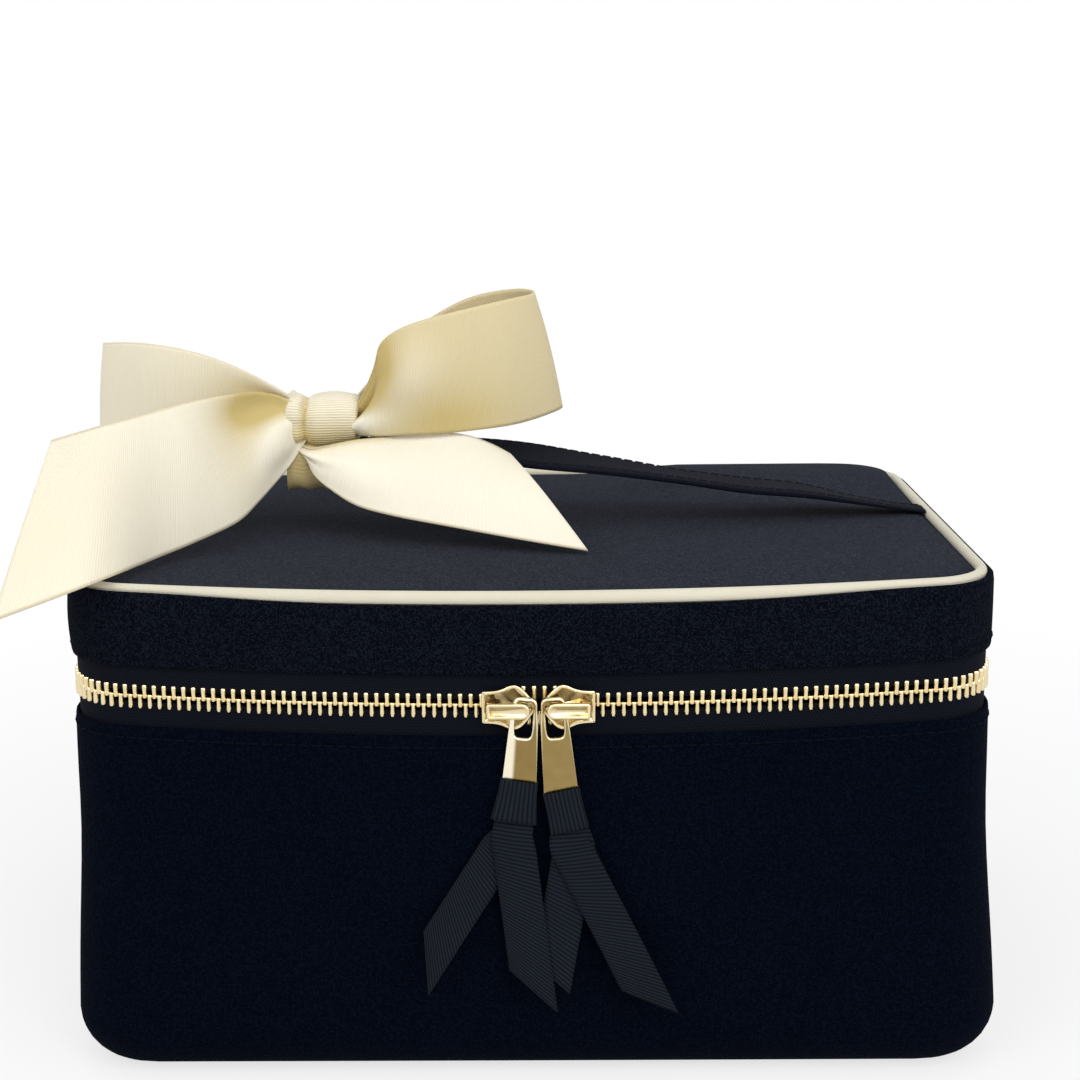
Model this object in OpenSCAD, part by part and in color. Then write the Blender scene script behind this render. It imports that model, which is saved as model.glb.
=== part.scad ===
// Box-shaped makeup bag of dark canvas: piped lid on a cloth hinge, two-way metal zip with
// ribboned pulls, strap handle and a tied ribbon bow.
// Millimetres. Origin at the centre of the base on the floor, X to the right, Y to the back, Z up.

/* [Bag] */
// Outside width of the box
bag_w = 230; // [160:1:300]
// Outside depth from the middle of the bowed front to the back
bag_d = 165; // [120:1:220]
// Height of the centre of the lid's piping
bag_h = 123; // [90:1:180]
// Height of the zip's centre line
zip_z = 97; // [60:1:150]
// Radius of the upright corners
corner_r = 20; // [18:1:30]
// Radius of the bowed front
front_r = 500; // [350:10:900]
// Radius of the bottom edge
bottom_r = 13; // [12:1:17]
// How much further out each side stands at the base
base_flare = 2.5; // [0:0.5:5]

/* [Cloth] */
// Thickness of the canvas
canvas_t = 1.0; // [0.6:0.1:1.4]
// Thickness of the foam between canvas and lining
foam_t = 2.7; // [1.5:0.1:4]
// Thickness of the lining
lining_t = 0.8; // [0.5:0.1:1.2]
// Thickness of the stiff board in the base
board_t = 2.4; // [1.5:0.1:3]
// Radius of the piping cord
piping_r = 1.8; // [1.2:0.1:2.5]
// Half the width of zip left between the canvas edges
zip_reveal = 7.5; // [6.5:0.1:9]

/* [Zip] */
// Spacing of the teeth along one tape
tooth_pitch = 2.5; // [2.3:0.05:3]
// Length of a tooth along the zip
tooth_len = 1.05; // [0.8:0.05:1.15]
// Where the zip stops on the sides, short of the rear corners
zip_end_y = 58; // [20:1:60]
// Length of a slider
slider_len = 13; // [11:0.5:16]
// Tilt of the left pull
left_tilt = -3; // [-12:1:0]
// Tilt of the right pull
right_tilt = 8; // [0:1:12]
// How far right of the middle the sliders meet
meet_x = 2.3; // [0:0.1:4]

/* [Handle and bow] */
// Width of the strap
strap_w = 20; // [14:1:26]
// Thickness of the strap
strap_t = 2; // [1.4:0.1:3]
// Thickness of the bow's ribbon
ribbon_t = 0.7; // [0.5:0.1:1]
// Where the bow's knot sits along the strap
knot_x = -56; // [-60:1:-52]

/* [Hidden] */
$fn = 64;

// Plan: a shallow front arc, tight corner arcs, straight sides and a straight back
cor_x = bag_w / 2 - corner_r;
front_cy = -bag_d / 2 + front_r;
front_a = asin(cor_x / (front_r - corner_r));
cor_fy = front_cy - sqrt(pow(front_r - corner_r, 2) - cor_x * cor_x);
cor_ry = bag_d / 2 - corner_r;

// Layers, as distances in from the outer face
gap = 0.1;
tape_t = 0.6;
tape_u = canvas_t + gap;
tape_mid = tape_u + tape_t / 2;
tape_w = 15.5;
tape_edge = 1.5;
foam_u = tape_u + tape_t + gap;
lining_u = foam_u + foam_t + gap;
inner_u = lining_u + lining_t;
board_z = foam_u;
body_lip_z = zip_z - 11;
lid_lip_z = zip_z + 11;
lid_skin_z = bag_h - canvas_t / 2;
lid_top_z = bag_h + canvas_t / 2;
lid_foam_z = lid_skin_z - gap - 4;
lid_line_z = lid_foam_z - gap - lining_t;

// Zip: the two rows part round the sliders' wedges
part_full = 4;
part_end = 9;
part_rise = 1.9;
slider_mid = slider_len / 2 + 0.4;
slider_turn = asin(slider_mid / front_r);
meet_turn = asin(meet_x / front_r);
pivot_a = -3;
pivot_r = 1.3;
plate_n = 1.5;
plate_t = 1.1;
tab_n = 3.1;
tab_t = 1.3;
beam_n = 4.9;

// Strap route: back edge and front edge of the ribbon along its length
strap_route = [[-110.6, 0, 124.53, 0], [-104, 0, 126.2, 0], [-92, 0, 132.4, 0],
    [-80, 0, 139.5, 0], [-70, 0, 144.2, 0], [-62, 0, 145.7, 0], [-50, 0, 145.9, 0],
    [-36, 0, 145.6, -4], [-18, 0, 144.6, -7], [0, 0, 142.6, -8], [20, 0.5, 139.6, -2],
    [40, 1.5, 136.2, 2], [57, 3, 133.6, 1], [75, 6, 131, 2], [92, 9.5, 127.6, 5],
    [104, 12, 125.5, 3], [110.6, 13, 124.53, 0]];
left_split = 2;
right_split = 12;

// Ribbon routes: pairs of a top edge point and a bottom edge point
loop_right_route = [
    [[-47, -9.5, 158], [-48.2, -9.5, 150.5]], [[-42, -13, 168.5], [-44, -13, 150.4]],
    [[-37.5, -14.5, 177], [-36, -15, 150.8]], [[-20, -14, 183.6], [-17, -14.5, 152]],
    [[-8, -9.5, 186], [-3, -10, 153.3]], [[1, 0, 187.3], [8.2, 0, 155.8]],
    [[-4, 8, 187.7], [3, 8, 155.8]], [[-20, 11, 183.6], [-15, 11, 152]],
    [[-38, 5.5, 171], [-36, 5.5, 150]], [[-47.5, -3, 158], [-48.4, -3, 150.6]]];
loop_left_route = [
    [[-64, -9, 159.5], [-64.4, -9, 150]], [[-73, -12, 166.7], [-73.4, -12, 148.5]],
    [[-90, -13, 173.6], [-91.5, -13, 144.8]], [[-107, -7.5, 175.6], [-109, -7.5, 141.2]],
    [[-116, 0, 174.8], [-118.4, 0, 139.6]], [[-110, 8, 173], [-112, 8, 140]],
    [[-92, 9.5, 168.8], [-93, 9.5, 143]], [[-77, 4, 163.6], [-78, 4, 146.4]],
    [[-64, -3, 159], [-64.2, -3, 150.4]]];
tail_left_route = [
    [[-60, -10, 158.5], [-61, -10.5, 149]], [[-66, -13.5, 161.2], [-66, -14.5, 143.5]],
    [[-73, -19, 163.6], [-71, -23, 136]], [[-84, -28, 163], [-78.5, -35, 130.6]],
    [[-95, -36, 161.4], [-90, -48, 127.4]], [[-106, -45, 159], [-104.2, -78, 125.8]],
    [[-117.3, -53, 156.6], [-124.7, -86, 119.5]]];
tail_right_route = [
    [[-63, -9, 150.5], [-63, -9.5, 147.5]], [[-58, -14.2, 149], [-58.5, -16, 143]],
    [[-48.8, -15, 149.9], [-54, -20.5, 138.1]], [[-36.3, -14, 150.5], [-46, -26, 133.9]],
    [[-25.7, -13, 151.3], [-36, -31, 132.2]], [[-17.2, -13.5, 150.5], [-24, -35, 130.9]],
    [[-10.9, -14, 148.4], [-7.8, -39, 128.6]], [[-5.6, -15, 145.8], [14.7, -43, 125.6]]];

// A curve through the four points, a fraction t of the way from the second to the third
function spline(a, b, c, d, t) =
    b + (c - a) * t / 2 + (2 * a - 5 * b + 4 * c - d) * t * t / 2
    + (3 * b - a - 3 * c + d) * t * t * t / 2;
function smooth(p, k) = let (n = len(p)) [
    for (i = [0 : n - 2], j = [0 : k - 1])
        spline(p[max(i - 1, 0)], p[i], p[i + 1], p[min(i + 2, n - 1)], j / k),
    p[n - 1]];
function unit(v) = v / norm(v);
function slice(p, a, b) = [for (i = [a : b]) p[i]];

// A ribbon between two smoothed edges; its ends stand square to X where heading is given as X
module ribbon(tops, bots, th, heading = undef) {
    n = len(tops);
    skew = [for (i = [0 : n - 1]) unit(cross(
        is_undef(heading) ? (tops[min(i + 1, n - 1)] + bots[min(i + 1, n - 1)])
        - (tops[max(i - 1, 0)] + bots[max(i - 1, 0)]) : heading, tops[i] - bots[i])) * th / 2];
    points = [for (i = [0 : n - 1]) each
        [tops[i] + skew[i], bots[i] + skew[i], bots[i] - skew[i], tops[i] - skew[i]]];
    walls = [for (i = [0 : n - 2], k = [0 : 3]) each
        [[4 * i + k, 4 * i + (k + 1) % 4, 4 * i + 4 + k],
         [4 * i + (k + 1) % 4, 4 * i + 4 + (k + 1) % 4, 4 * i + 4 + k]]];
    ends = [[0, 3, 2], [0, 2, 1], [4 * n - 4, 4 * n - 3, 4 * n - 2], [4 * n - 4, 4 * n - 2, 4 * n - 1]];
    polyhedron(points, concat(walls, ends));
}

module bow_ribbon(route, k) {
    ribbon(smooth([for (p = route) p[0]], k), smooth([for (p = route) p[1]], k), ribbon_t);
}

function strap_edges(side) = [for (p = smooth(strap_route, 4))
    [p[0], p[1] + side * cos(p[3]) * strap_w / 2, p[2] - side * sin(p[3]) * strap_w / 2]];

module strap_run(first, last) {
    ribbon(slice(strap_edges(1), first, last), slice(strap_edges(-1), first, last), strap_t, [1, 0, 0]);
}

// Flat outline of the bag, a distance in from the outer face
module plan(inset) {
    reach = front_r - corner_r + 60;
    translate([0, front_cy])
        intersection() {
            circle(front_r - inset, $fn = 200);
            polygon([[-cor_x, cor_fy - front_cy], [cor_x, cor_fy - front_cy],
                [reach * sin(front_a), -reach * cos(front_a)],
                [-reach * sin(front_a), -reach * cos(front_a)]]);
        }
    for (sx = [-1, 1], y = [cor_fy, cor_ry])
        translate([sx * cor_x, y]) circle(corner_r - inset);
    translate([inset - bag_w / 2, cor_fy]) square([bag_w - 2 * inset, cor_ry - cor_fy]);
    translate([-cor_x, cor_fy]) square([2 * cor_x, bag_d / 2 - inset - cor_fy]);
}

// The same outline as points, for the layers that turn under to the base
front_steps = 18;
corner_steps = 12;
function arc_points(x, y, r, from, to, steps) = [for (i = [0 : steps])
    let (a = from + (to - from) * i / steps) [x + r * sin(a), y - r * cos(a)]];
function outline(u) = concat(
    arc_points(0, front_cy, front_r - u, -front_a, front_a, front_steps),
    slice(arc_points(cor_x, cor_fy, corner_r - u, front_a, 90, corner_steps), 1, corner_steps),
    arc_points(cor_x, cor_ry, corner_r - u, 90, 180, corner_steps),
    arc_points(-cor_x, cor_ry, corner_r - u, 180, 270, corner_steps),
    slice(arc_points(-cor_x, cor_fy, corner_r - u, 270, 360 - front_a, corner_steps), 0, corner_steps - 1));

// Towards the base the sides stand further out and the front loses its bow
flare_z = 66;
function low_share(z) = min(1, max(0, (flare_z - z) / (flare_z - bottom_r)));
function sag(x) = let (c = min(abs(x), cor_x)) front_cy + bag_d / 2 - sqrt(front_r * front_r - c * c);
function spread(q, z) = let (k = low_share(z)) [q[0] * (1 + 2 * base_flare / bag_w * k),
    q[1] - k * sag(q[0]) * min(1, max(0, -q[1] / 50)), z];
module base_plate(inset, th) {
    linear_extrude(th) polygon([for (q = outline(inset)) let (p = spread(q, 0)) [p[0], p[1]]]);
}

// A closed section of (distance in, height) points carried all round the outline
module ring(section) {
    rings = [for (p = section) outline(p[0])];
    m = len(rings[0]);
    n = len(section);
    points = [for (k = [0 : n - 1]) each [for (q = rings[k]) spread(q, section[k][1])]];
    faces = [for (k = [0 : n - 1], j = [0 : m - 1])
        let (k2 = (k + 1) % n, j2 = (j + 1) % m)
        each section[k2][1] < section[k][1] ?
            [[k * m + j, k2 * m + j, k * m + j2], [k2 * m + j, k2 * m + j2, k * m + j2]] :
            [[k * m + j, k2 * m + j, k2 * m + j2], [k * m + j, k2 * m + j2, k * m + j2]]];
    polyhedron(points, faces);
}

// Section of an upright layer that turns under to the base
turn_steps = 6;
function turn_under(u) = [for (i = [0 : turn_steps])
    let (a = 90 * i / turn_steps, r = bottom_r - u) [bottom_r - r * sin(a), bottom_r - r * cos(a)]];
function backward(p) = [for (i = [len(p) - 1 : -1 : 0]) p[i]];
function wall_section(u0, u1, top) =
    concat(turn_under(u0), [[u0, flare_z], [u0, top], [u1, top], [u1, flare_z]],
        backward(turn_under(u1)));

// Upright bands between two distances in
module band(u0, u1, low, high) {
    translate([0, 0, low]) linear_extrude(high - low) difference() {
        plan(u0);
        plan(u1);
    }
}

module ahead_of(y) {
    intersection() {
        children();
        translate([-bag_w, -bag_d, -1]) cube([2 * bag_w, bag_d + y, 2 * bag_h]);
    }
}

module behind(y) {
    intersection() {
        children();
        translate([-bag_w, y, -1]) cube([2 * bag_w, bag_d, 2 * bag_h]);
    }
}

// Box
module body_wall() {
    color("#15171f") ring(wall_section(0, canvas_t, zip_z - zip_reveal));
}

module base_panel() {
    color("#15171f") base_plate(bottom_r + 0.05, canvas_t);
}

module base_board() {
    color("#8a7f70") translate([0, 0, board_z]) base_plate(bottom_r + gap, board_t);
}

module body_padding() {
    color("#d8d4cc")
        ring(wall_section(foam_u, foam_u + foam_t, body_lip_z - lining_t - gap));
}

module body_lining() {
    color("#23252d") ring(concat(turn_under(lining_u),
        [[lining_u, flare_z], [lining_u, body_lip_z - lining_t], [foam_u, body_lip_z - lining_t],
         [foam_u, body_lip_z], [inner_u, body_lip_z], [inner_u, flare_z]],
        backward(turn_under(inner_u))));
}

module lining_floor() {
    color("#23252d") translate([0, 0, lining_u]) base_plate(bottom_r + 0.05, lining_t);
}

// Lid
module lid_band() {
    color("#15171f") band(0, canvas_t, zip_z + zip_reveal, bag_h - piping_r - 0.2);
}

module lid_piping() {
    color("#e9e0cc") ring([for (i = [0 : 11])
        [piping_r + gap - piping_r * cos(30 * i), bag_h + piping_r * sin(30 * i)]]);
}

module lid_top() {
    color("#181a22") translate([0, 0, lid_skin_z]) linear_extrude(canvas_t)
        plan(2 * piping_r + 2 * gap);
}

module lid_padding() {
    low = lid_lip_z + lining_t + gap;
    color("#d8d4cc") {
        translate([0, 0, lid_foam_z]) linear_extrude(4) plan(2 * piping_r + 0.4);
        band(foam_u, foam_u + foam_t, low, lid_foam_z);
    }
}

module lid_lining() {
    color("#23252d") {
        translate([0, 0, lid_line_z]) linear_extrude(lining_t) plan(lining_u);
        band(lining_u, inner_u, lid_lip_z, lid_line_z + lining_t / 2);
        band(foam_u, inner_u, lid_lip_z, lid_lip_z + lining_t);
    }
}

// Cloth that carries on the zip's line round the back, where it hinges
module hinge_cloth_lower() {
    color("#15171f") behind(zip_end_y + 0.2)
        band(0, canvas_t, zip_z - zip_reveal + gap, zip_z - 0.2);
}

module hinge_cloth_upper() {
    color("#15171f") behind(zip_end_y + 0.2)
        band(0, canvas_t, zip_z + 0.2, zip_z + zip_reveal - gap);
}

// Zip
module zip_frame(turn) {
    translate([0, front_cy, 0]) rotate([0, 0, turn]) translate([0, -front_cy, 0])
        translate([0, tape_mid - bag_d / 2, zip_z]) rotate([90, 0, 0]) children();
}

module zip_tape(side) {
    low = side > 0 ? zip_z + tape_edge : zip_z - tape_edge - tape_w;
    notch = side > 0 ? tape_edge - 1 : -tape_edge - 2.1;
    color("#14161d") difference() {
        ahead_of(zip_end_y) band(tape_u, tape_u + tape_t, low, low + tape_w);
        zip_frame(meet_turn) translate([-part_end, notch, -4]) cube([2 * part_end, 3.1, 8]);
    }
}

zip_r = front_r - tape_mid;
zip_cr = corner_r - tape_mid;
arc_len = zip_r * front_a * PI / 180;
corner_len = zip_cr * (90 - front_a) * PI / 180;
zip_len = arc_len + corner_len + zip_end_y - cor_fy;

// Where the zip's line is, a length s from the front's middle: x, y and heading
function zip_at(s) =
    s <= arc_len ? let (a = s / zip_r * 180 / PI)
        [zip_r * sin(a), front_cy - zip_r * cos(a), a] :
    s <= arc_len + corner_len ? let (a = front_a + (s - arc_len) / zip_cr * 180 / PI)
        [cor_x + zip_cr * sin(a), cor_fy - zip_cr * cos(a), a] :
    [bag_w / 2 - tape_mid, cor_fy + s - arc_len - corner_len, 90];
function ease(t) = let (c = min(max(t, 0), 1)) c * c * (3 - 2 * c);
function parting(s) = part_rise * (1 - ease((s - part_full) / (part_end - part_full)));

module tooth_section() {
    polygon([[-1.2, 3], [-0.35, 3], [-0.35, 1.4], [0.35, 1.4], [0.35, 3], [1.2, 3],
        [1.2, 0.6], [0.8, -0.8], [-0.8, -0.8], [-1.2, 0.6]]);
}

module zip_teeth(side) {
    shift = side > 0 ? tooth_pitch / 2 : 0;
    count = floor((zip_len - 2 - shift) / tooth_pitch);
    color("#d9b568") for (hand = [-1, 1], i = [(side < 0 && hand < 0 ? 1 : 0) : count]) {
        s = shift + i * tooth_pitch;
        at = zip_at(s);
        translate([hand * at[0], at[1], zip_z + side * parting(abs(s - hand * meet_x))])
            rotate([0, 0, hand * at[2]])
                mirror([0, 0, side > 0 ? 0 : 1])
                    translate([-tooth_len / 2, 0, 0]) rotate([90, 0, 90])
                        linear_extrude(tooth_len) tooth_section();
    }
}

module lower_zip_tape() { zip_tape(-1); }
module upper_zip_tape() { zip_tape(1); }
module lower_zip_teeth() { zip_teeth(-1); }
module upper_zip_teeth() { zip_teeth(1); }

// Sliders, drawn for the right-hand one with the nose at the left
module hand_frame(hand) {
    zip_frame(hand * slider_turn + meet_turn) mirror([hand < 0 ? 1 : 0, 0, 0]) children();
}

module slider_outline() {
    translate([-0.9, 0]) circle(slider_len / 2 - 0.9);
    translate([-0.9, -4]) square([slider_len / 2 - 0.1, 8]);
    translate([0, -3]) square([slider_len / 2, 6]);
    for (t = [-3, 3]) translate([slider_len / 2 - 1, t]) circle(1);
}

module slider_body(hand) {
    color("#d9b568") hand_frame(hand) {
        translate([0, 0, plate_n]) linear_extrude(plate_t) slider_outline();
        translate([0, 0, -plate_n - plate_t]) linear_extrude(plate_t) slider_outline();
        translate([0, 0, -plate_n]) linear_extrude(2 * plate_n)
            polygon([[-5.6, 0], [-4.4, -0.8], [-2.9, 0], [-4.4, 0.8]]);
    }
}

module slider_crown(hand) {
    top = plate_n + plate_t;
    color("#d9b568") hand_frame(hand) {
        translate([pivot_a, 0, top]) cylinder(r = pivot_r, h = beam_n - top);
        translate([3.4, -1.5, top]) cube([1.9, 3, beam_n - top]);
        translate([0, 0, beam_n]) linear_extrude(1.1) {
            translate([pivot_a, 0]) circle(1.9);
            translate([pivot_a, -1.9]) square([5.3 - pivot_a - 1, 3.8]);
            translate([3.3, -0.9]) square([2, 1.8]);
            for (t = [-0.9, 0.9]) translate([4.3, t]) circle(1);
        }
    }
}

// Pulls, hung from the crown's round leg
module pull_frame(hand) {
    tilt = hand > 0 ? right_tilt : left_tilt;
    hand_frame(hand) translate([pivot_a, 0, 0]) rotate([0, 0, hand * tilt]) children();
}

module rounded(w, low, high, r) {
    translate([-w / 2 + r, low]) square([w - 2 * r, high - low]);
    translate([-w / 2, low + r]) square([w, high - low - 2 * r]);
    for (x = [r - w / 2, w / 2 - r], y = [low + r, high - r]) translate([x, y]) circle(r);
}

module pull_tab(hand) {
    drop = hand > 0 ? 2.5 : 0;
    color("#dcbb70") pull_frame(hand) translate([0, 0, tab_n]) linear_extrude(tab_t) difference() {
        polygon([for (sx = [-1, 1]) each let (p = [[3.3, -28], [4.05, -27.7], [4.3, -27], [4.3, -22],
            [3.2, 1.7], [3, 2.35], [2.6, 2.75], [2, 2.9]]) [for (q = sx > 0 ? p : backward(p))
                [sx * q[0], q[1] - (q[1] < -20 ? drop : 0)]]]);
        rounded(4.2, -7, 1.6, 0.9);
        rounded(5.6, -26 - drop, -19.5 - drop, 1);
    }
}

module pull_hitch(hand) {
    drop = hand > 0 ? 2.5 : 0;
    mid = tab_n + tab_t / 2;
    color("#262934") pull_frame(hand) translate([0, -17.5 - drop, mid]) rotate([90, 0, 0])
        linear_extrude(10.4) difference() {
            rounded(10.6, -2, 2, 1.2);
            rounded(8.8, -tab_t / 2 - 0.05, tab_t / 2 + 0.05, 0.3);
        }
}

// Ribbon tails of a pull: each leaves the hitch, fans out and ends in a slanting cut
module tail_shape(fan, long, short) {
    rotate([0, 0, fan]) polygon([[-5.1, 0], [5.1, 0], [5.1, -long], [-5.1, -short]]);
}

module pull_tails(hand) {
    drop = hand > 0 ? 2.5 : 0;
    far_n = hand > 0 ? 1.75 : 2.4;
    color("#262934") pull_frame(hand) intersection() {
        union() {
            translate([hand > 0 ? 0.7 : 0.9, -28.6 - drop, 3.35]) linear_extrude(0.6)
                tail_shape(hand > 0 ? 19.5 : -10, hand > 0 ? 53 : 38, hand > 0 ? 43 : 48.7);
            translate([hand > 0 ? 2.4 : 0.7, -28.6 - drop, far_n]) linear_extrude(0.6)
                tail_shape(hand > 0 ? -17 : 30, hand > 0 ? 42.3 : 34.5, hand > 0 ? 35 : 49.5);
        }
        translate([-60, -128.3 - drop, -2]) cube([120, 100, 12]);
    }
}

module slider_body_left() { slider_body(-1); }
module slider_body_right() { slider_body(1); }
module slider_crown_left() { slider_crown(-1); }
module slider_crown_right() { slider_crown(1); }
module pull_tab_left() { pull_tab(-1); }
module pull_tab_right() { pull_tab(1); }
module pull_hitch_left() { pull_hitch(-1); }
module pull_hitch_right() { pull_hitch(1); }
module pull_tails_left() { pull_tails(-1); }
module pull_tails_right() { pull_tails(1); }

// Handle
split_gap = 0.5;

// A strap edge cut short by the gap, at its last or its first point
function trim_last(p) = concat(slice(p, 0, len(p) - 2),
    [p[len(p) - 1] + unit(p[len(p) - 2] - p[len(p) - 1]) * split_gap]);
function trim_first(p) = backward(trim_last(backward(p)));

module handle_end_left() {
    last = 4 * left_split;
    color("#15171f") ribbon(trim_last(slice(strap_edges(1), 0, last)),
        trim_last(slice(strap_edges(-1), 0, last)), strap_t, [1, 0, 0]);
}

module handle_end_right() {
    first = 4 * right_split;
    last = 4 * (len(strap_route) - 1);
    color("#15171f") ribbon(trim_first(slice(strap_edges(1), first, last)),
        trim_first(slice(strap_edges(-1), first, last)), strap_t, [1, 0, 0]);
}

module handle_strap() {
    color("#15171f") strap_run(4 * left_split, 4 * right_split);
}

// Bow
module bow_knot() {
    strap_z = 145.8;
    color("#ece4d2") {
        translate([knot_x, -6, 154.5]) rotate([0, 90, 0]) rotate_extrude()
            polygon([[0, -9.8], [6, -9.8], [7.3, -7.8], [7.8, -4], [8, 0], [7.8, 4], [7.3, 7.8],
                [6, 9.8], [0, 9.8]]);
        translate([knot_x - 6, 0, strap_z]) rotate([90, 0, 90]) linear_extrude(12) difference() {
            translate([0, 0.4]) rotate(90) rounded(7.6, -strap_w / 2 - 1.6, strap_w / 2 + 1.6, 2);
            translate([-strap_w / 2 - 0.2, -1.35]) square([strap_w + 0.4, 2.7]);
        }
    }
}

module bow_loop_left() { color("#ece4d2") bow_ribbon(loop_left_route, 5); }
module bow_loop_right() { color("#ece4d2") bow_ribbon(loop_right_route, 5); }
module bow_tail_left() { color("#ece4d2") bow_ribbon(tail_left_route, 5); }
module bow_tail_right() { color("#ece4d2") bow_ribbon(tail_right_route, 5); }

body_wall();
base_panel();
base_board();
body_padding();
body_lining();
lining_floor();
lower_zip_tape();
lower_zip_teeth();
hinge_cloth_lower();
lid_band();
lid_piping();
lid_top();
lid_padding();
lid_lining();
upper_zip_tape();
upper_zip_teeth();
hinge_cloth_upper();
handle_end_left();
handle_end_right();
handle_strap();
bow_knot();
bow_loop_left();
bow_loop_right();
bow_tail_left();
bow_tail_right();
slider_body_left();
slider_crown_left();
pull_tab_left();
pull_hitch_left();
pull_tails_left();
slider_body_right();
slider_crown_right();
pull_tab_right();
pull_hitch_right();
pull_tails_right();
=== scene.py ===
"""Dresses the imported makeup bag: canvas shells, piping, zip, strap handle and a tied ribbon bow."""

import logging
import math
from dataclasses import dataclass, field
from enum import Enum
from typing import Callable, Sequence

import bmesh
import bpy
from mathutils import Matrix, Vector, noise

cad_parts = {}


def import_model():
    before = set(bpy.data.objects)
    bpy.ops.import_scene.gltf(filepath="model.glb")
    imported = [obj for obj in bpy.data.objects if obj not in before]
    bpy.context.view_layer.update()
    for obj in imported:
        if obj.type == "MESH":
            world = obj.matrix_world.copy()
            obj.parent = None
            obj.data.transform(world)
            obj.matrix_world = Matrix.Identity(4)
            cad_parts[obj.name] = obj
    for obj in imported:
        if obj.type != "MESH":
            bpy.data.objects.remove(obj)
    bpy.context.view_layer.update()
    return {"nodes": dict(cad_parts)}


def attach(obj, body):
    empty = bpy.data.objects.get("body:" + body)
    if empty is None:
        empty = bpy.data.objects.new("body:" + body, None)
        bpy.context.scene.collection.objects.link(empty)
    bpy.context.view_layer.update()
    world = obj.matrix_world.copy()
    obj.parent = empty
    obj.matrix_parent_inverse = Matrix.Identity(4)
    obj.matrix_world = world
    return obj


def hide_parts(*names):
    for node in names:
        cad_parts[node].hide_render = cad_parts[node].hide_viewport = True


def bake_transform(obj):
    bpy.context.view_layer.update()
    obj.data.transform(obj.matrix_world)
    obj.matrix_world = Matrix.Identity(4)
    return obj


LOG = logging.getLogger("makeup_bag")
MM = 0.001
Place = Callable[[int, int], Vector]
Section = Sequence[tuple[float, float]]
Piece = bpy.types.Object
Socket = bpy.types.NodeSocket
RIBBON_THICKNESS = 0.5 * MM


class Hand(Enum):
    """Which of the two mirrored pieces, as the sign of its X."""

    LEFT = -1
    RIGHT = 1


def ease(t: float) -> float:
    """Smooth step from 0 to 1."""
    t = min(max(t, 0.0), 1.0)
    return t * t * (3.0 - 2.0 * t)


def steps(first: float, last: float, count: int) -> list[float]:
    """Evenly spaced values, both ends included."""
    return [first + (last - first) * i / count for i in range(count + 1)]


def arch(share: float) -> float:
    """Half a wave over a share from 0 to 1, and nought outside it."""
    return math.sin(math.pi * min(max(share, 0.0), 1.0))


def blunt(value: float, power: float) -> float:
    """A power that keeps the value's sign, which squares off a round section."""
    return math.copysign(abs(value) ** power, value)


def wobble(at: Vector, size: float, seed: float) -> float:
    """Smooth noise from -1 to 1 at a point.

    Args:
        at: the point, in metres.
        size: the size of a bump, in metres.
        seed: shifts the pattern, so that two pieces differ.

    Returns:
        The noise value.
    """
    return noise.noise(at / size + Vector((seed, 0.7 * seed, -seed)))


def curve_at(points: Sequence[Vector], t: float) -> Vector:
    """A point on the smooth curve through the points.

    Args:
        points: the points that the curve goes through.
        t: 0 at the first point, 1 at the last.

    Returns:
        The point.
    """
    last = len(points) - 1
    i = min(int(t * last), last - 1)
    f = t * last - i
    a, b = points[max(i - 1, 0)], points[i]
    c, d = points[i + 1], points[min(i + 2, last)]
    return (
        b
        + (c - a) * (f / 2)
        + (2 * a - 5 * b + 4 * c - d) * (f * f / 2)
        + (3 * b - a - 3 * c + d) * (f * f * f / 2)
    )


def lay_cloth(
    name: str,
    along: Sequence[float],
    across: Sequence[float],
    place: Place,
    weld: bool = False,
    caps: Callable[[Vector], bool] | None = None,
) -> Piece:
    """Makes a grid of cloth and lays each of its points in place.

    Args:
        name: the piece's name.
        along: lengths of the stops along the cloth, in metres, which become U.
        across: lengths of the stops across the cloth, in metres, which become V.
        place: gives the point for a pair of stop numbers.
        weld: joins edges that were laid on each other.
        caps: says of a point whether the open edges there are closed with a face.

    Returns:
        The new object.
    """
    nx, ny = len(along) - 1, len(across) - 1
    bm = bmesh.new()
    uv = bm.loops.layers.uv.new("UVMap")
    bmesh.ops.create_grid(bm, x_segments=nx, y_segments=ny, size=1.0)
    for face in bm.faces:
        face.smooth = True
        for loop in face.loops:
            i = round((loop.vert.co.x + 1.0) / 2.0 * nx)
            j = round((loop.vert.co.y + 1.0) / 2.0 * ny)
            loop[uv].uv = (along[i], across[j])
    for vert in bm.verts:
        i = round((vert.co.x + 1.0) / 2.0 * nx)
        j = round((vert.co.y + 1.0) / 2.0 * ny)
        vert.co = place(i, j)
    if weld:
        bmesh.ops.remove_doubles(bm, verts=bm.verts, dist=1e-6)
    if caps:
        rim = [edge for edge in bm.edges if edge.is_boundary and caps(edge.verts[0].co)]
        made = bmesh.ops.holes_fill(bm, edges=rim)
        for face in made["faces"]:
            for loop in face.loops:
                loop[uv].uv = (loop.vert.co.x, loop.vert.co.y)
    if weld or caps:
        bmesh.ops.recalc_face_normals(bm, faces=bm.faces)
    return new_object(name, bm)


def new_object(name: str, bm: bmesh.types.BMesh) -> Piece:
    """Turns a finished bmesh into an object at the origin.

    Args:
        name: the piece's name.
        bm: the bmesh, which is freed.

    Returns:
        The new object.
    """
    mesh = bpy.data.meshes.new(name)
    bm.to_mesh(mesh)
    bm.free()
    piece = bpy.data.objects.new(name, mesh)
    bpy.context.scene.collection.objects.link(piece)
    return piece


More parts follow.
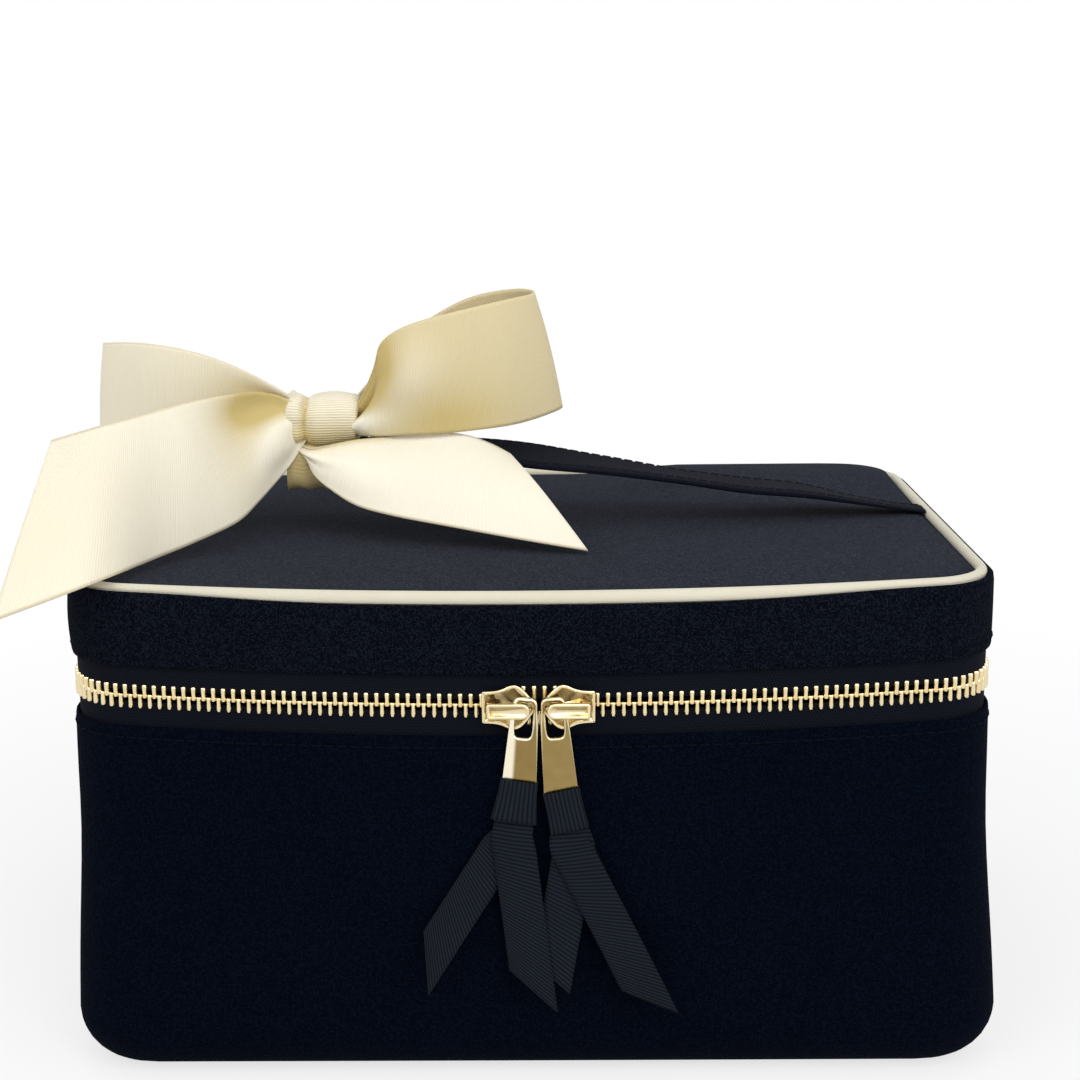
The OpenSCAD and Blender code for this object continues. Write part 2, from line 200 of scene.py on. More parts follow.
def thicken(piece: Piece, thickness: float, offset: float = 0.0) -> None:
    """Gives a sheet its thickness.

    Args:
        piece: the sheet.
        thickness: in metres.
        offset: -1 grows it against its normals, 0 both ways, 1 along them.
    """
    solid = piece.modifiers.new("Thickness", "SOLIDIFY")
    solid.thickness = thickness
    solid.offset = offset


def mark_painted_shade(piece: Piece, folded: Sequence[float]) -> None:
    """Notes on each point of a ribbon how much painted shade it has, from 0 to 1."""
    piece.data.attributes.new("fold", "FLOAT", "POINT").data.foreach_set("value", folded)


def running(points: Sequence[Vector]) -> list[float]:
    """Lengths along a chain of points, from 0.

    Args:
        points: the chain.

    Returns:
        A length for each point.
    """
    total = [0.0]
    for a, b in zip(points, points[1:]):
        total.append(total[-1] + (b - a).length)
    return total


@dataclass(frozen=True)
class Outline:
    """The bag's plan: a bowed front, tight corners, straight sides and a straight back.

    Lengths round it are measured on the outer face from the middle of the front, to the right.

    Attributes:
        width: across both sides.
        depth: from the front's middle to the back.
        corner: radius of the four corners.
        bow: radius of the front.
        flare_left: how much further out the left side stands at the base.
        flare_right: how much further out the right side stands at the base.
        flare_top: height at which the sides start to spread.
        flare_low: height at which they are fully spread.
        fore: Y over which the front's change of bow fades towards the back.
    """

    width: float = 230 * MM
    depth: float = 165 * MM
    corner: float = 20 * MM
    bow: float = 500 * MM
    flare_left: float = 1.5 * MM
    flare_right: float = 2.6 * MM
    flare_top: float = 66 * MM
    flare_low: float = 13 * MM
    fore: float = 50 * MM

    @property
    def corner_x(self) -> float:
        """X of the right corners' centres."""
        return self.width / 2 - self.corner

    @property
    def front_y(self) -> float:
        """Y of the front arc's centre."""
        return self.bow - self.depth / 2

    @property
    def front_angle(self) -> float:
        """Half the front arc's angle, in radians."""
        return math.asin(self.corner_x / (self.bow - self.corner))

    @property
    def corner_front_y(self) -> float:
        """Y of the front corners' centres."""
        reach = self.bow - self.corner
        return self.front_y - math.sqrt(reach**2 - self.corner_x**2)

    @property
    def corner_rear_y(self) -> float:
        """Y of the rear corners' centres."""
        return self.depth / 2 - self.corner

    def marks(self) -> list[float]:
        """Lengths at which the front arc, corner, side, rear corner and half the back end.

        Returns:
            The five lengths.
        """
        marks = [self.bow * self.front_angle]
        marks.append(marks[-1] + self.corner * (math.pi / 2 - self.front_angle))
        marks.append(marks[-1] + self.corner_rear_y - self.corner_front_y)
        marks.append(marks[-1] + self.corner * math.pi / 2)
        marks.append(marks[-1] + self.corner_x)
        return marks

    def at(self, length: float, inset: float, height: float) -> Vector:
        """A point of a layer of the bag's wall.

        Args:
            length: round the outer face from the front's middle; negative on the left.
            inset: in from the outer face.
            height: above the floor.

        Returns:
            The point.
        """
        front, corner, side, rear, half = self.marks()
        if length > half:
            length -= 2 * half
        s, hand = abs(length), math.copysign(1.0, length)
        if s <= front:
            a, r = s / self.bow, self.bow - inset
            x, y = r * math.sin(a), self.front_y - r * math.cos(a)
        elif s <= corner:
            a, r = self.front_angle + (s - front) / self.corner, self.corner - inset
            x, y = self.corner_x + r * math.sin(a), self.corner_front_y - r * math.cos(a)
        elif s <= side:
            x, y = self.width / 2 - inset, self.corner_front_y + s - corner
        elif s <= rear:
            a, r = math.pi / 2 + (s - side) / self.corner, self.corner - inset
            x, y = self.corner_x + r * math.sin(a), self.corner_rear_y - r * math.cos(a)
        else:
            x, y = self.corner_x - (s - rear), self.depth / 2 - inset
        return self.spread(Vector((hand * x, y, height)))

    def spread(self, at: Vector) -> Vector:
        """Moves a point near the base: the sides stand further out and the front loses its bow.

        Args:
            at: the point on the plain outline.

        Returns:
            The moved point.
        """
        low = min(max((self.flare_top - at.z) / (self.flare_top - self.flare_low), 0.0), 1.0)
        low = low * low * (2.0 - low)
        sag = self.bow - math.sqrt(self.bow**2 - min(abs(at.x), self.corner_x) ** 2)
        fore = min(max(-at.y / self.fore, 0.0), 1.0)
        flare = self.flare_left if at.x < 0.0 else self.flare_right
        return Vector((at.x * (1.0 + 2.0 * flare / self.width * low), at.y - low * sag * fore, at.z))

    def stops(self) -> list[float]:
        """Lengths of the stops all the way round, from the back's middle to the same place.

        Returns:
            The lengths, negative on the left.
        """
        front, corner, side, rear, half = self.marks()
        right = steps(0.0, front, 22)
        right += steps(front, corner, 10)[1:]
        right += steps(corner, side, 18)[1:]
        right += steps(side, rear, 10)[1:]
        right += steps(rear, half, 16)[1:]
        return [-s for s in reversed(right[1:])] + right

    def stops_between(self, first: float, last: float) -> list[float]:
        """Stops from one length to another, the long way where last is past the back.

        Args:
            first: the length to start from.
            last: the length to end at.

        Returns:
            The stops, both ends included.
        """
        half = self.marks()[-1]
        ring = self.stops()
        every = ring + [s + 2 * half for s in ring[1:]]
        inner = [s for s in every if first + MM < s < last - MM]
        return [first] + inner + [last]

    def side_length(self, y: float) -> float:
        """Length at which the right side reaches a Y."""
        return self.marks()[1] + y - self.corner_front_y


@dataclass
class Bag:
    """Sizes that the sub-assemblies share.

    Attributes:
        outline: the bag's plan.
        zip_z: height of the zip's line.
        piping_z: height of the seam that holds the lid's top to the piping.
        piping_r: radius of the piping.
        bottom_r: radius of the turn from the wall to the base.
        zip_end_y: Y at which the zip ends on both sides.
        tape_mid: from the outer face in to the tape's middle.
        meet: X of the place where the sliders meet.
        stitch_out: how far the stitches beside the zip stand off the cloth.
        tuck_from: length round the outline at which the lid's band starts to rise over the piping.
        tuck_over: length over which it rises.
    """

    outline: Outline = field(default_factory=Outline)
    zip_z: float = 97 * MM
    piping_z: float = 123 * MM
    piping_r: float = 1.6 * MM
    bottom_r: float = 13 * MM
    zip_end_y: float = 58 * MM
    tape_mid: float = 1.4 * MM
    meet: float = 2.3 * MM
    stitch_out: float = 0.12 * MM
    tuck_from: float = 40 * MM
    tuck_over: float = 58 * MM

    def tuck(self, length: float) -> float:
        """How far the lid's band rises over the piping: 0 in the front's middle, 1 at corners and sides."""
        return ease((abs(length) - self.tuck_from) / self.tuck_over)

    def seam(self, height: float) -> list[Vector]:
        """Points of a seam all round the bag at a height."""
        return [self.outline.at(s, -self.stitch_out, height) for s in self.outline.stops()]

    def skin(
        self,
        name: str,
        section: Section,
        puff: Callable[[Vector], float] | None = None,
        stops: Sequence[float] | None = None,
        weld: bool = True,
        caps: Callable[[Vector], bool] | None = None,
        tucked: Section | None = None,
    ) -> Piece:
        """Carries a section round the outline.

        Args:
            name: the piece's name.
            section: points of (inset, height) in millimetres.
            puff: how far the cloth stands out at a point.
            stops: lengths round the outline, or None for all the way round.
            weld: closes the ring at the back.
            caps: says of a point whether the open edge there is closed with a face.
            tucked: what the section becomes where the band rises over the piping.

        Returns:
            The new object.
        """
        chain = [Vector((u * MM, z * MM, 0.0)) for u, z in section]
        stops = self.outline.stops() if stops is None else stops

        def place(i: int, j: int) -> Vector:
            """Lays a point of the section on the outline.

            Args:
                i: the stop round the outline.
                j: the place in the section.

            Returns:
                The point.
            """
            here = Vector(section[j])
            if tucked is not None:
                here = here.lerp(Vector(tucked[j]), self.tuck(stops[i]))
            u, z = here.x * MM, here.y * MM
            at = self.outline.at(stops[i], u, z)
            if puff is not None:
                at = self.outline.at(stops[i], u - puff(at), z)
            return at

        return lay_cloth(name, stops, running(chain), place, weld=weld, caps=caps)


class Graph:
    """Adds nodes to a shader tree and links them."""

    def __init__(self, tree: bpy.types.NodeTree) -> None:
        """Starts on a tree."""
        self.tree = tree

    def add(self, kind: str, inputs: dict | None = None, **settings: object) -> bpy.types.Node:
        """Adds a node.

        Args:
            kind: the node's type.
            inputs: socket names or numbers, each with a value or a socket to link from.
            settings: properties of the node.

        Returns:
            The node.
        """
        node = self.tree.nodes.new(kind)
        for key, value in settings.items():
            setattr(node, key, value)
        for key, value in (inputs or {}).items():
            if isinstance(value, Socket):
                self.tree.links.new(value, node.inputs[key])
            else:
                node.inputs[key].default_value = value
        return node

    def math(self, operation: str, *values: object) -> Socket:
        """Adds a maths node and gives its result."""
        node = self.add("ShaderNodeMath", dict(enumerate(values)), operation=operation)
        return node.outputs[0]

    def mix(self, share: object, a: object, b: object) -> Socket:
        """Mixes two colours.

        Args:
            share: 0 for a, 1 for b.
            a: a colour or a socket.
            b: a colour or a socket.

        Returns:
            The mixed colour's socket.
        """
        node = self.add("ShaderNodeMix", {0: share, 6: a, 7: b}, data_type="RGBA")
        return node.outputs[2]


class Relief(Enum):
    """What a cloth's threads make on its surface."""

    WEAVE = "thread_weave"
    RIBS = "cross_ribs"
    TWILL = "fine_twill"


class Effects:
    """The shader groups that several finishes share, each built once.

    Attributes:
        slub_rate: how often a woven thread strays, per metre.
        slub_drift: how far it strays, as a share of the threads' pitch.
        fine_rate: how much finer the fine unevenness is than the broad one.
    """

    slub_rate = 260.0
    slub_drift = 0.5
    fine_rate = 14.0

    @staticmethod
    def start(name: str, outputs: Sequence[str]) -> tuple[bpy.types.NodeTree, Graph, bpy.types.Node]:
        """Starts a group with a place and a size as inputs.

        Args:
            name: the group's name.
            outputs: names of its outputs.

        Returns:
            The group, its graph and its input node.
        """
        tree = bpy.data.node_groups.new(name, "ShaderNodeTree")
        tree.interface.new_socket("Place", in_out="INPUT", socket_type="NodeSocketVector")
        size = tree.interface.new_socket("Size", in_out="INPUT", socket_type="NodeSocketFloat")
        size.default_value = MM
        for output in outputs:
            tree.interface.new_socket(output, in_out="OUTPUT", socket_type="NodeSocketFloat")
        graph = Graph(tree)
        return tree, graph, graph.add("NodeGroupInput")

    @classmethod
    def threads(cls, relief: Relief) -> bpy.types.NodeTree:
        """Height of a cloth's threads over its surface, and a tone of its own for each crossing.

        Args:
            relief: which cloth.

        Returns:
            The group.
        """
        if relief.value in bpy.data.node_groups:
            return bpy.data.node_groups[relief.value]
        tree, g, given = cls.start(relief.value, ["Height", "Grain"])
        split = g.add("ShaderNodeSeparateXYZ", {0: given.outputs["Place"]})
        x = g.math("DIVIDE", split.outputs[0], given.outputs["Size"])
        y = g.math("DIVIDE", split.outputs[1], given.outputs["Size"])
        if relief is Relief.WEAVE:
            place = given.outputs["Place"]
            slub = g.add("ShaderNodeTexNoise", {"Vector": place, "Scale": cls.slub_rate, "Detail": 1.0})
            drift = g.add("ShaderNodeSeparateColor", {0: slub.outputs["Color"]})
            x = g.math("ADD", x, g.math("MULTIPLY", drift.outputs[0], cls.slub_drift))
            y = g.math("ADD", y, g.math("MULTIPLY", drift.outputs[1], cls.slub_drift))
        across = g.math("ABSOLUTE", g.math("SINE", g.math("MULTIPLY", x, math.pi)))
        down = g.math("ABSOLUTE", g.math("SINE", g.math("MULTIPLY", y, math.pi)))
        if relief is Relief.RIBS:
            height = g.math("POWER", across, 0.9)
        elif relief is Relief.TWILL:
            slant = g.math("ADD", x, g.math("MULTIPLY", y, 0.5))
            wave = g.math("ABSOLUTE", g.math("SINE", g.math("MULTIPLY", slant, math.pi)))
            height = g.math("ADD", g.math("MULTIPLY", wave, 0.7), g.math("MULTIPLY", down, 0.3))
        else:
            cell = g.math("ADD", g.math("FLOOR", x), g.math("FLOOR", y))
            over = g.math("FLOORED_MODULO", cell, 2.0)
            under = g.math("SUBTRACT", 1.0, over)
            height = g.math("ADD", g.math("MULTIPLY", across, over), g.math("MULTIPLY", down, under))
        crossing = g.add("ShaderNodeCombineXYZ", {0: g.math("FLOOR", x), 1: g.math("FLOOR", y)})
        grain = g.add("ShaderNodeTexWhiteNoise", {"Vector": crossing.outputs[0]})
        g.add("NodeGroupOutput", {"Height": height, "Grain": grain.outputs["Value"]})
        return tree

    @classmethod
    def tone(cls) -> bpy.types.NodeTree:
        """Broad and fine unevenness, from 0 to 1.

        Returns:
            The group.
        """
        if "uneven_tone" in bpy.data.node_groups:
            return bpy.data.node_groups["uneven_tone"]
        tree, g, given = cls.start("uneven_tone", ["Broad", "Fine"])
        place = given.outputs["Place"]
        rate = g.math("DIVIDE", 1.0, given.outputs["Size"])
        broad = g.add("ShaderNodeTexNoise", {"Vector": place, "Scale": rate, "Detail": 3.0})
        quick = g.math("MULTIPLY", rate, cls.fine_rate)
        fine = g.add("ShaderNodeTexNoise", {"Vector": place, "Scale": quick, "Detail": 2.0})
        g.add("NodeGroupOutput", {"Broad": broad.outputs[0], "Fine": fine.outputs[0]})
        return tree


@dataclass(frozen=True)
class Finish:
    """A finish's name and colour, with what every finish does.

    Attributes:
        name: the material's name.
        colour: its lighter colour.
        shade: its darker colour.
        rough: its roughness.
    """

    name: str
    colour: tuple[float, float, float]
    shade: tuple[float, float, float]
    rough: float = 0.8

    def start(self) -> tuple[bpy.types.Material, Graph, bpy.types.Node]:
        """Starts the material with its roughness.

        Returns:
            The material, its graph and its Principled shader.
        """
        material = bpy.data.materials.new(self.name)
        material.use_nodes = True
        graph = Graph(material.node_tree)
        shader = material.node_tree.nodes["Principled BSDF"]
        shader.inputs["Roughness"].default_value = self.rough
        return material, graph, shader

    def uneven(self, g: Graph, place: Socket, size: float) -> bpy.types.Node:
        """Adds the group of unevenness.

        Args:
            g: the material's graph.
            place: the coordinates that it follows.
            size: the size of its broad patches, in metres.

        Returns:
            The group's node.
        """
        node = g.add("ShaderNodeGroup", node_tree=Effects.tone())
        g.tree.links.new(place, node.inputs["Place"])
        node.inputs["Size"].default_value = size
        return node

    def dress(self, *pieces: Piece) -> None:
        """Puts the finish on pieces, making it on first use.

        Args:
            pieces: the pieces.
        """
        material = bpy.data.materials.get(self.name) or self.make()
        for piece in pieces:
            piece.data.materials.clear()
            piece.data.materials.append(material)

    def make(self) -> bpy.types.Material:
        """Makes a plain, slightly uneven finish on Object coordinates.

        Returns:
            The material.
        """
        material, g, shader = self.start()
        shader.inputs["Specular IOR Level"].default_value = 0.05
        place = g.add("ShaderNodeTexCoord").outputs["Object"]
        tone = self.uneven(g, place, 6 * MM)
        colour = g.mix(tone.outputs["Fine"], (*self.shade, 1.0), (*self.colour, 1.0))
        g.tree.links.new(colour, shader.inputs["Base Color"])
        bump = g.add("ShaderNodeBump", {"Height": tone.outputs["Fine"], "Distance": 0.1 * MM})
        g.tree.links.new(bump.outputs[0], shader.inputs["Normal"])
        return material


@dataclass(frozen=True)
class ClothFinish(Finish):
    """A woven finish on the cloth's own UV map.

    Attributes:
        relief: what the threads make on the surface.
        pitch: from thread to thread.
        depth: how far the threads stand up.
        sheen: weight of the fibres' sheen.
        gloss: the surface's specular level.
        tint: how much darker it is between the threads.
        speckle: how much the tone differs from crossing to crossing.
        speck_power: how few of the crossings are bright.
        speck_gain: how bright those are.
    """

    relief: Relief = Relief.WEAVE
    pitch: float = 0.55 * MM
    depth: float = 0.12 * MM
    sheen: float = 0.2
    gloss: float = 0.3
    tint: float = 0.5
    speckle: float = 0.0
    speck_power: float = 2.2
    speck_gain: float = 1.6

    def recolour(self, g: Graph, place: Socket, colour: Socket) -> Socket:
        """Leaves the colour as it is; the ribbon's finish overrides this with painted shade in its folds and
        a line along its edges.
        """
        return colour

    def make(self) -> bpy.types.Material:
        """Makes the cloth: threads in relief, darker between them, with an uneven tone.

        Returns:
            The material.
        """
        material, g, shader = self.start()
        place = g.add("ShaderNodeTexCoord").outputs["UV"]
        threads = g.add("ShaderNodeGroup", node_tree=Effects.threads(self.relief))
        g.tree.links.new(place, threads.inputs["Place"])
        threads.inputs["Size"].default_value = self.pitch
        tone = self.uneven(g, place, 25 * MM)
        height = threads.outputs["Height"]
        raised = g.math("ADD", g.math("MULTIPLY", height, self.tint), 1.0 - self.tint)
        patches = g.math("ADD", g.math("MULTIPLY", tone.outputs["Broad"], 0.5), 0.75)
        level = g.math("MULTIPLY", raised, patches)
        if self.speckle:
            bright = g.math("POWER", threads.outputs["Grain"], self.speck_power)
            grain = g.math("MULTIPLY", bright, self.speck_gain * self.speckle)
            level = g.math("MULTIPLY", level, g.math("ADD", grain, 1.0 - self.speckle))
        colour = self.recolour(g, place, g.mix(level, (*self.shade, 1.0), (*self.colour, 1.0)))
        g.tree.links.new(colour, shader.inputs["Base Color"])
        fuzz = g.math("ADD", height, g.math("MULTIPLY", tone.outputs["Fine"], 0.4))
        bump = g.add("ShaderNodeBump", {"Height": fuzz, "Distance": self.depth})
        g.tree.links.new(bump.outputs[0], shader.inputs["Normal"])
        shader.inputs["Sheen Weight"].default_value = self.sheen
        shader.inputs["Sheen Roughness"].default_value = 0.4
        shader.inputs["Specular IOR Level"].default_value = self.gloss
        return material


@dataclass(frozen=True)
class MetalFinish(Finish):
    """A polished metal with faint rubbing."""

    def make(self) -> bpy.types.Material:
        """Makes the metal: an uneven gloss and a little colour drift on Object coordinates.

        Returns:
            The material.
        """
        material, g, shader = self.start()
        place = g.add("ShaderNodeTexCoord").outputs["Object"]
        tone = self.uneven(g, place, 3 * MM)
        colour = g.mix(tone.outputs["Broad"], (*self.shade, 1.0), (*self.colour, 1.0))
        g.tree.links.new(colour, shader.inputs["Base Color"])
        rough = g.math("ADD", g.math("MULTIPLY", tone.outputs["Fine"], 0.12), self.rough)
        g.tree.links.new(rough, shader.inputs["Roughness"])
        shader.inputs["Metallic"].default_value = 1.0
        return material


@dataclass(frozen=True)
class TabFinish(MetalFinish):
    """A darker copy of the gold, painted dark reflection, with a painted highlight round its rim and down one
    side where highlight_x is set.

    Attributes:
        rim: colour of the painted highlights.
        highlight_x: X left of which the metal has a painted highlight, taken down to the floor along the
            lean.
        highlight_soft: width over which that painted highlight fades out.
        lean: how far the painted highlight's edge leans, in X for each Z.
        mid_v: V of the line round the front face, halfway from its outer edge to the window.
        rim_highlight_from: distance from that line at which the painted highlight on the rim starts.
        rim_highlight_full: distance from it at which that painted highlight is full.
    """

    rim: tuple[float, float, float] = (0.8, 0.66, 0.36)
    highlight_x: float = -1.0
    highlight_soft: float = 0.8 * MM
    lean: float = 0.08
    mid_v: float = 3 * MM
    rim_highlight_from: float = 1.55 * MM
    rim_highlight_full: float = 1.95 * MM

    def make(self) -> bpy.types.Material:
        """Makes the metal and paints highlights near the edges, by the UV map's V, and down the side set by
        highlight_x.

        Returns:
            The material.
        """
        material = super().make()
        g = Graph(material.node_tree)
        shader = material.node_tree.nodes["Principled BSDF"]
        deep = shader.inputs["Base Color"].links[0].from_socket
        coords = g.add("ShaderNodeTexCoord")
        v = g.add("ShaderNodeSeparateXYZ", {0: coords.outputs["UV"]}).outputs[1]
        away = g.math("ABSOLUTE", g.math("SUBTRACT", v, self.mid_v))
        rim_highlight = g.add("ShaderNodeMapRange", {"Value": away, 1: self.rim_highlight_from, 2: self.rim_highlight_full}).outputs[0]
        split = g.add("ShaderNodeSeparateXYZ", {0: coords.outputs["Object"]})
        across = g.math("SUBTRACT", split.outputs[0], g.math("MULTIPLY", split.outputs[2], self.lean))
        ends = {1: self.highlight_x - self.highlight_soft, 2: self.highlight_x, 3: 1.0, 4: 0.0}
        side_highlight = g.add("ShaderNodeMapRange", {"Value": across, **ends}).outputs[0]
        # Painted highlights: near the edges, and left of highlight_x, the pale rim colour replaces the darker
        # gold.
        colour = g.mix(g.math("MAXIMUM", rim_highlight, side_highlight), deep, (*self.rim, 1.0))
        g.tree.links.new(colour, shader.inputs["Base Color"])
        return material


@dataclass(frozen=True)
class RibbonFinish(ClothFinish):
    """A ribbed ribbon, with painted shade in its folds and a deeper line along its woven edges.

    Attributes:
        fold: the colour of the painted shade in its folds.
        width: the ribbon's width, in V.
        edge_full: from the edge to where the edge's line is full.
        edge_end: from the edge to where it ends.
        edge_share: how much of the folds' colour the line has.
    """

    fold: tuple[float, float, float] = (0.58, 0.45, 0.17)
    width: float = 36 * MM
    edge_full: float = 0.3 * MM
    edge_end: float = 0.9 * MM
    edge_share: float = 0.45

    def recolour(self, g: Graph, place: Socket, colour: Socket) -> Socket:
        """Paints shade by the piece's own fold attribute, and deepens the colour along the ribbon's two woven
        edges.

        Args:
            g: the material's graph.
            place: the UV map.
            colour: the ribbon's colour.

        Returns:
            The deepened colour's socket.
        """
        folded = g.add("ShaderNodeAttribute", attribute_name="fold").outputs["Fac"]
        v = g.add("ShaderNodeSeparateXYZ", {0: place}).outputs[1]
        edge = g.math("MINIMUM", v, g.math("SUBTRACT", self.width, v))
        ends = {1: self.edge_full, 2: self.edge_end, 3: self.edge_share, 4: 0.0}
        line = g.add("ShaderNodeMapRange", {"Value": edge, **ends}).outputs[0]
        # Painted shade from the fold attribute, and a deeper line along the woven edges.
        return g.mix(g.math("MAXIMUM", folded, line), colour, (*self.fold, 1.0))


# The same navy canvas in three copies: darkest on the walls and hinge, lighter on the lid's band and several
# times lighter on the top. The differences are painted shade and painted light, for light that falls from
# above.
SHADED_CANVAS = ClothFinish(
    "navy_canvas_painted_shade", (0.0022, 0.0046, 0.0122), (0.0001, 0.0005, 0.0022), 0.95,
    pitch=0.48 * MM, sheen=0.003, gloss=0.02, tint=0.7, speckle=0.6,
)
HALF_LIT_LID_CANVAS = ClothFinish(
    "navy_canvas_lid", (0.0086, 0.0114, 0.0198), (0.0002, 0.0007, 0.0028), 0.95,
    pitch=0.38 * MM, sheen=0.004, gloss=0.02, tint=0.7, speckle=0.8,
)
LIT_TOP_CANVAS = ClothFinish(
    "navy_canvas_top_painted_light", (0.0370, 0.0425, 0.0620), (0.0060, 0.0076, 0.0140), 0.92,
    pitch=0.48 * MM, depth=0.14 * MM, sheen=0.015, gloss=0.05, tint=0.8, speckle=0.75,
)
WEBBING = ClothFinish(
    "navy_webbing", (0.0072, 0.0088, 0.0150), (0.0014, 0.0020, 0.0044), 0.92,
    pitch=0.8 * MM, sheen=0.01, gloss=0.05, tint=0.8,
)
TAPE = ClothFinish(
    "zip_tape_twill", (0.0058, 0.0074, 0.0125), (0.0008, 0.0013, 0.0032), 0.92,
    relief=Relief.TWILL, pitch=0.8 * MM, sheen=0.01, gloss=0.05, tint=0.85,
)
LINING = ClothFinish(
    "dark_lining", (0.02, 0.021, 0.03), (0.008, 0.009, 0.014), 0.6,
    pitch=0.4 * MM, depth=0.05 * MM, gloss=0.4,
)
BOW_RIBBON = RibbonFinish(
    "ivory_ribbon", (0.88, 0.83, 0.69), (0.78, 0.71, 0.54), 0.5,
    relief=Relief.RIBS, pitch=0.7 * MM, depth=0.06 * MM, sheen=0.25, gloss=0.4, tint=0.2,
)
# A darker copy of the ivory ribbon for the knot: painted shade.
SHADED_KNOT_RIBBON = RibbonFinish(
    "ivory_knot_painted_shade", (0.86, 0.80, 0.63), (0.66, 0.56, 0.34), 0.5,
    relief=Relief.RIBS, pitch=0.75 * MM, depth=0.14 * MM, sheen=0.25, gloss=0.4, tint=0.5,
)
PIPING = ClothFinish(
    "ivory_piping", (0.70, 0.66, 0.53), (0.45, 0.41, 0.31), 0.7,
    relief=Relief.TWILL, pitch=0.45 * MM, depth=0.06 * MM, tint=0.35,
)
PULL_RIBBON = ClothFinish(
    "slate_grosgrain", (0.0118, 0.0155, 0.0225), (0.0010, 0.0019, 0.0040), 0.85,
    relief=Relief.RIBS, pitch=1.15 * MM, depth=0.3 * MM, tint=0.9, sheen=0.01, gloss=0.07,
)
THREAD = Finish("dark_thread", (0.0030, 0.0044, 0.0088), (0.0012, 0.0020, 0.0044), 0.9)
STRAP_THREAD = Finish("strap_thread", (0.0185, 0.0208, 0.0275), (0.0090, 0.0108, 0.0160), 0.9)
GOLD = MetalFinish("pale_gold", (0.93, 0.82, 0.55), (0.76, 0.61, 0.34), 0.16)
# The tabs' gold: darker copies of the pale gold, painted dark reflection, with painted highlights on the rims
# and, on the left tab, down its left side.
SHADED_TAB_GOLD = TabFinish("deep_gold_painted_reflection", (0.37, 0.265, 0.105), (0.28, 0.195, 0.07), 0.2, rim=(0.86, 0.74, 0.46))
HIGHLIT_TAB_GOLD = TabFinish(
    "rubbed_gold", (0.34, 0.235, 0.085), (0.26, 0.175, 0.06), 0.2,
    rim=(0.95, 0.88, 0.68), highlight_x=-10 * MM,
)
FOAM = Finish("foam", (0.75, 0.73, 0.66), (0.62, 0.60, 0.53), 0.95)
BOARD = Finish("fibre_board", (0.20, 0.16, 0.12), (0.14, 0.11, 0.08), 0.9)


def sew(
    name: str,
    path: Sequence[Vector],
    stitch: float = 2.3 * MM,
    gap: float = 0.8 * MM,
    radius: float = 0.24 * MM,
) -> Piece:
    """Makes a row of stitches along a path.

    Args:
        name: the piece's name.
        path: points along the seam.
        stitch: length of a stitch.
        gap: between two stitches.
        radius: of the thread.

    Returns:
        The row, as one object.
    """
    lengths = running(path)
    bm = bmesh.new()
    at, i = gap, 0
    while at + stitch < lengths[-1]:
        middle = at + stitch / 2
        while lengths[i + 1] < middle:
            i += 1
        share = (middle - lengths[i]) / (lengths[i + 1] - lengths[i])
        heading = (path[i + 1] - path[i]).normalized()
        turn = heading.to_track_quat("Z", "Y").to_matrix().to_4x4()
        spot = Matrix.Translation(path[i].lerp(path[i + 1], share)) @ turn
        bmesh.ops.create_cone(
            bm, cap_ends=True, segments=6, radius1=radius, radius2=radius, depth=stitch, matrix=spot
        )
        at += stitch + gap
    return new_object(name, bm)


def settle(piece: Piece, body: str, slot: str, *nodes: str) -> None:
    """Puts a finished piece on a body, in place of CAD nodes.

    Args:
        piece: the piece.
        body: the body that it moves with, or an empty name, which leaves it on no body.
        slot: the name of a material slot; not used.
        nodes: the CAD nodes that it stands for.
    """
    if body:
        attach(piece, body)
    if nodes:
        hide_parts(*nodes)
    LOG.info("%s: %d faces on %s", piece.name, len(piece.data.polygons), body or "two bodies")


